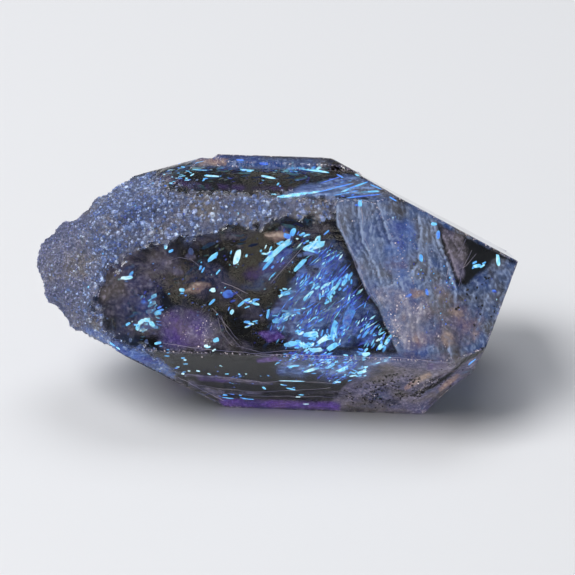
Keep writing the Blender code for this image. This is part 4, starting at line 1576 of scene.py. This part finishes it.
# %% Make the fibres
FIBRE_WIDTH = 0.028 * MM
FIBRE_STEP = 4              # pixels between points of a fibre
FIBRE_SWAY = 0.8            # pixels that it sways
FIBRE_BEND = 7              # pixels, the size of its bends
# Each fibre has its depth in mm and its points on the photograph.
FIBRES = (
    (0.8, (163, 263), (180, 257), (191, 259), (203, 269)), (1.0, (233, 290), (242, 298), (250, 310)),
    (0.9, (222, 282), (236, 288), (248, 294)), (0.7, (218, 318), (221, 332), (232, 346)),
    (0.7, (221, 316), (226, 330), (240, 347)), (0.8, (212, 308), (222, 320), (238, 340)),
    (0.07, (164, 343), (200, 349), (262, 354), (330, 356), (400, 358), (452, 363)),
    (0.15, (180, 374), (204, 376), (230, 378), (262, 382), (300, 381), (340, 384)),
    (0.15, (188, 384), (224, 389), (260, 392), (330, 388)), (0.15, (200, 391), (256, 396), (335, 397)),
    (0.1, (178, 377), (200, 389), (224, 401)), (0.3, (466, 239), (456, 262), (461, 284)),
    (0.4, (462, 246), (450, 262), (446, 280)), (0.4, (472, 250), (463, 268), (459, 286)),
    (0.3, (476, 254), (466, 266), (452, 272)), (0.3, (440, 315), (446, 334), (451, 354)),
    (0.35, (337, 208), (340, 224), (349, 247), (358, 264), (366, 290)),
    (0.35, (352, 256), (362, 280), (378, 304)),
    (0.9, (270, 284), (284, 268), (304, 246)), (1.1, (330, 322), (346, 300), (364, 282)),
    (0.7, (236, 346), (262, 352), (300, 350)), (0.2, (410, 396), (440, 382), (463, 362), (486, 351)),
    (0.2, (272, 198), (300, 192), (340, 190), (378, 191)), (0.2, (322, 188), (352, 181), (372, 184)),
    (0.5, (383, 202), (388, 230), (394, 252)), (0.5, (361, 204), (364, 238), (374, 258)),
    (0.4, (436, 300), (440, 326), (438, 350)), (0.3, (398, 304), (394, 322), (402, 346)),
)
fibre_tree = new_tree("tube_along_lines", {"Width": "Float", "Material": "Material"})
given = fibre_tree.nodes.new("NodeGroupInput").outputs
lines = add_node(fibre_tree, "GeometryNodeMeshToCurve", {"Mesh": given["Geometry"]})
round_profile = add_node(
    fibre_tree, "GeometryNodeCurvePrimitiveCircle", {"Resolution": 4, "Radius": given["Width"]})
tubes = add_node(
    fibre_tree, "GeometryNodeCurveToMesh",
    {"Curve": lines.outputs[0], "Profile Curve": round_profile.outputs[0], "Fill Caps": True})
real = add_node(fibre_tree, "GeometryNodeRealizeInstances", {"Geometry": tubes.outputs[0]})
clad = add_node(
    fibre_tree, "GeometryNodeSetMaterial", {"Geometry": real.outputs[0], "Material": given["Material"]})
add_node(fibre_tree, "NodeGroupOutput", {"Geometry": clad.outputs[0]})

fibre, tree, shader = new_material("hollow_fibre")
# The fibres' emission is a painted glow that stands in for the light they scatter.
tree.links.new(
    drifting_colour(tree, ("#5a5c8c", "#8c88a8", "#c4b8c0"), 0.9), shader.inputs["Emission Color"])
shader.inputs["Emission Strength"].default_value = 0.6
shader.inputs["Base Color"].default_value = linear("#6c6880")
shader.inputs["Roughness"].default_value = 0.3


# %% Draw the fibres
def fibre_line(shape, points, depth):
    """Adds the points and edges of one fibre to a shape."""
    last = None
    for (x0, y0), (x1, y1) in zip(points, points[1:]):
        steps = max(2, int(math.hypot(x1 - x0, y1 - y0) / FIBRE_STEP))
        for i in range(steps + 1):
            x = x0 + (x1 - x0) * i / steps
            y = y0 + (y1 - y0) * i / steps
            sway = FIBRE_SWAY * noise.noise(Vector((x, y, depth * 31)) / FIBRE_BEND)
            point, _ = inside(x + sway, y - sway, depth)
            if point is None or (last and i == 0):
                continue
            spot = shape.verts.new(point)
            if last:
                shape.edges.new((last, spot))
            last = spot


shape = bmesh.new()
for depth, *points in FIBRES:
    fibre_line(shape, points, depth)
fibre_mesh = run_tree(
    "fine_fibres", to_mesh(shape, "fibre_lines"), fibre_tree,
    {"Width": FIBRE_WIDTH / 2, "Material": fibre})
add_piece("fine_fibres", fibre_mesh)

# %% [markdown]
# ## The sides that the photograph doesn't show
# The back and the underside grew in the same brine, so they hold the same things: patchy healed
# cracks near the faces, with petroleum in them. Nothing there is measured. Each face away from the
# camera gets two veils of patches, and drops strewn behind them that point along the crystal.

# %% Fill the hidden sides
HIDDEN_AREA = 6.0           # mm2, the smallest face that gets its own veils
LYING_ON = -0.7             # a face that looks down more than this gets no drops


def under_face(face):
    """A function like inside, for one face: x and y run over the face in sixteenths of a mm."""
    origin = face.verts[0].co.copy()
    across = (face.verts[1].co - origin).normalized()
    up = face.normal.cross(across)

    def locate(x, y, depth):
        return origin + (across * x + up * y) * PIXEL * MM - face.normal * depth * MM, face.normal

    flat = [
        ((corner.co - origin).dot(across) / (PIXEL * MM), (corner.co - origin).dot(up) / (PIXEL * MM))
        for corner in face.verts
    ]
    return locate, flat


hidden_blue, hidden_grey, hidden_guide = bmesh.new(), bmesh.new(), bmesh.new()
hidden = [
    face for face in stone.faces
    if face.normal.dot(TOWARDS_EYE) < EDGE_ON and face.calc_area() > HIDDEN_AREA * MM ** 2
]
for number, face in enumerate(hidden):
    locate, flat = under_face(face)
    looks = dict(locate=locate, patchy=True)
    veil_sheet(hidden_blue, flat, 0.5, opacity=0.45, soft=5, seed=70 + number, **looks)
    veil_sheet(hidden_grey, flat, 0.25, opacity=0.8, soft=3, seed=90 + number, **looks)
    if face.normal.z > LYING_ON:
        veil_sheet(hidden_guide, flat, 0.9, opacity=1.0, soft=6, swell=0.4, seed=110 + number, **looks)
finish_veils("hidden_blue_veils", hidden_blue, blue_film)
finish_veils("hidden_grey_veils", hidden_grey, grey_film)
hidden_mesh = to_mesh(hidden_guide, "hidden_guide")
for name, per_mm2, size, seed in (
        ("hidden_drops", 1.6, (0.7, 0.18, 0.1), 71), ("hidden_swarm", 9.0, (0.28, 0.08, 0.05), 72)):
    strew(
        name, crumb_tree, hidden_mesh.copy(), per_mm2, size, petroleum, tilt=0.4,
        spin=0.4, flow=(1.0, 0.1, 0.3), lift=0.3, deepest=-0.4, seed=seed)
print("faces filled on the hidden sides:", len(hidden))

# %% [markdown]
# ## Floor and light
# A pale plain floor and two soft lamps, as for a catalogue picture. The lamps stand high, so that no
# large clear face mirrors one into the camera. The room is darker than the floor, so that the stone's
# windows show their depth and don't fill with white.

# %% Make the floor and the lights
FLOOR_SIDE = 6.0            # metres
FLOOR_GAP = 0.03 * MM       # the floor lies this far under the crystal, so that they don't share a face

floor_shape = bmesh.new()
bmesh.ops.create_grid(floor_shape, x_segments=2, y_segments=2, size=FLOOR_SIDE / 2)
bmesh.ops.translate(floor_shape, vec=(0, 0, -FLOOR_GAP), verts=floor_shape.verts)
paper, _, paper_shader = new_material("pale_paper")
paper_shader.inputs["Base Color"].default_value = linear("#dcdcda")
paper_shader.inputs["Roughness"].default_value = 0.8
floor = add_object("floor", to_mesh(floor_shape, "floor", paper))


def add_lamp(name, place, size, power, colour):
    """A square soft lamp at a place in metres that points at the crystal."""
    data = bpy.data.lights.new(name, "AREA")
    data.shape = "SQUARE"
    data.size = size
    data.energy = power
    data.color = linear(colour)[:3]
    lamp = add_object(name, data)
    lamp.location = place
    lamp.rotation_euler = (Vector(place) - AIM).to_track_quat("Z", "Y").to_euler()


add_lamp("soft_key", (-0.25, -0.12, 0.42), 0.32, 2.6, "#fbfbff")
add_lamp("soft_fill", (0.03, 0.22, 0.52), 0.30, 1.0, "#f4f6ff")
world = bpy.data.worlds.new("studio")
world.use_nodes = True
room = world.node_tree.nodes["Background"]
room.inputs["Color"].default_value = linear("#7e8288")
room.inputs["Strength"].default_value = 0.75
scene = bpy.context.scene
scene.world = world
scene.view_settings.view_transform = "Standard"
scene.cycles.transparent_max_bounces = 24
scene.cycles.max_bounces = 8
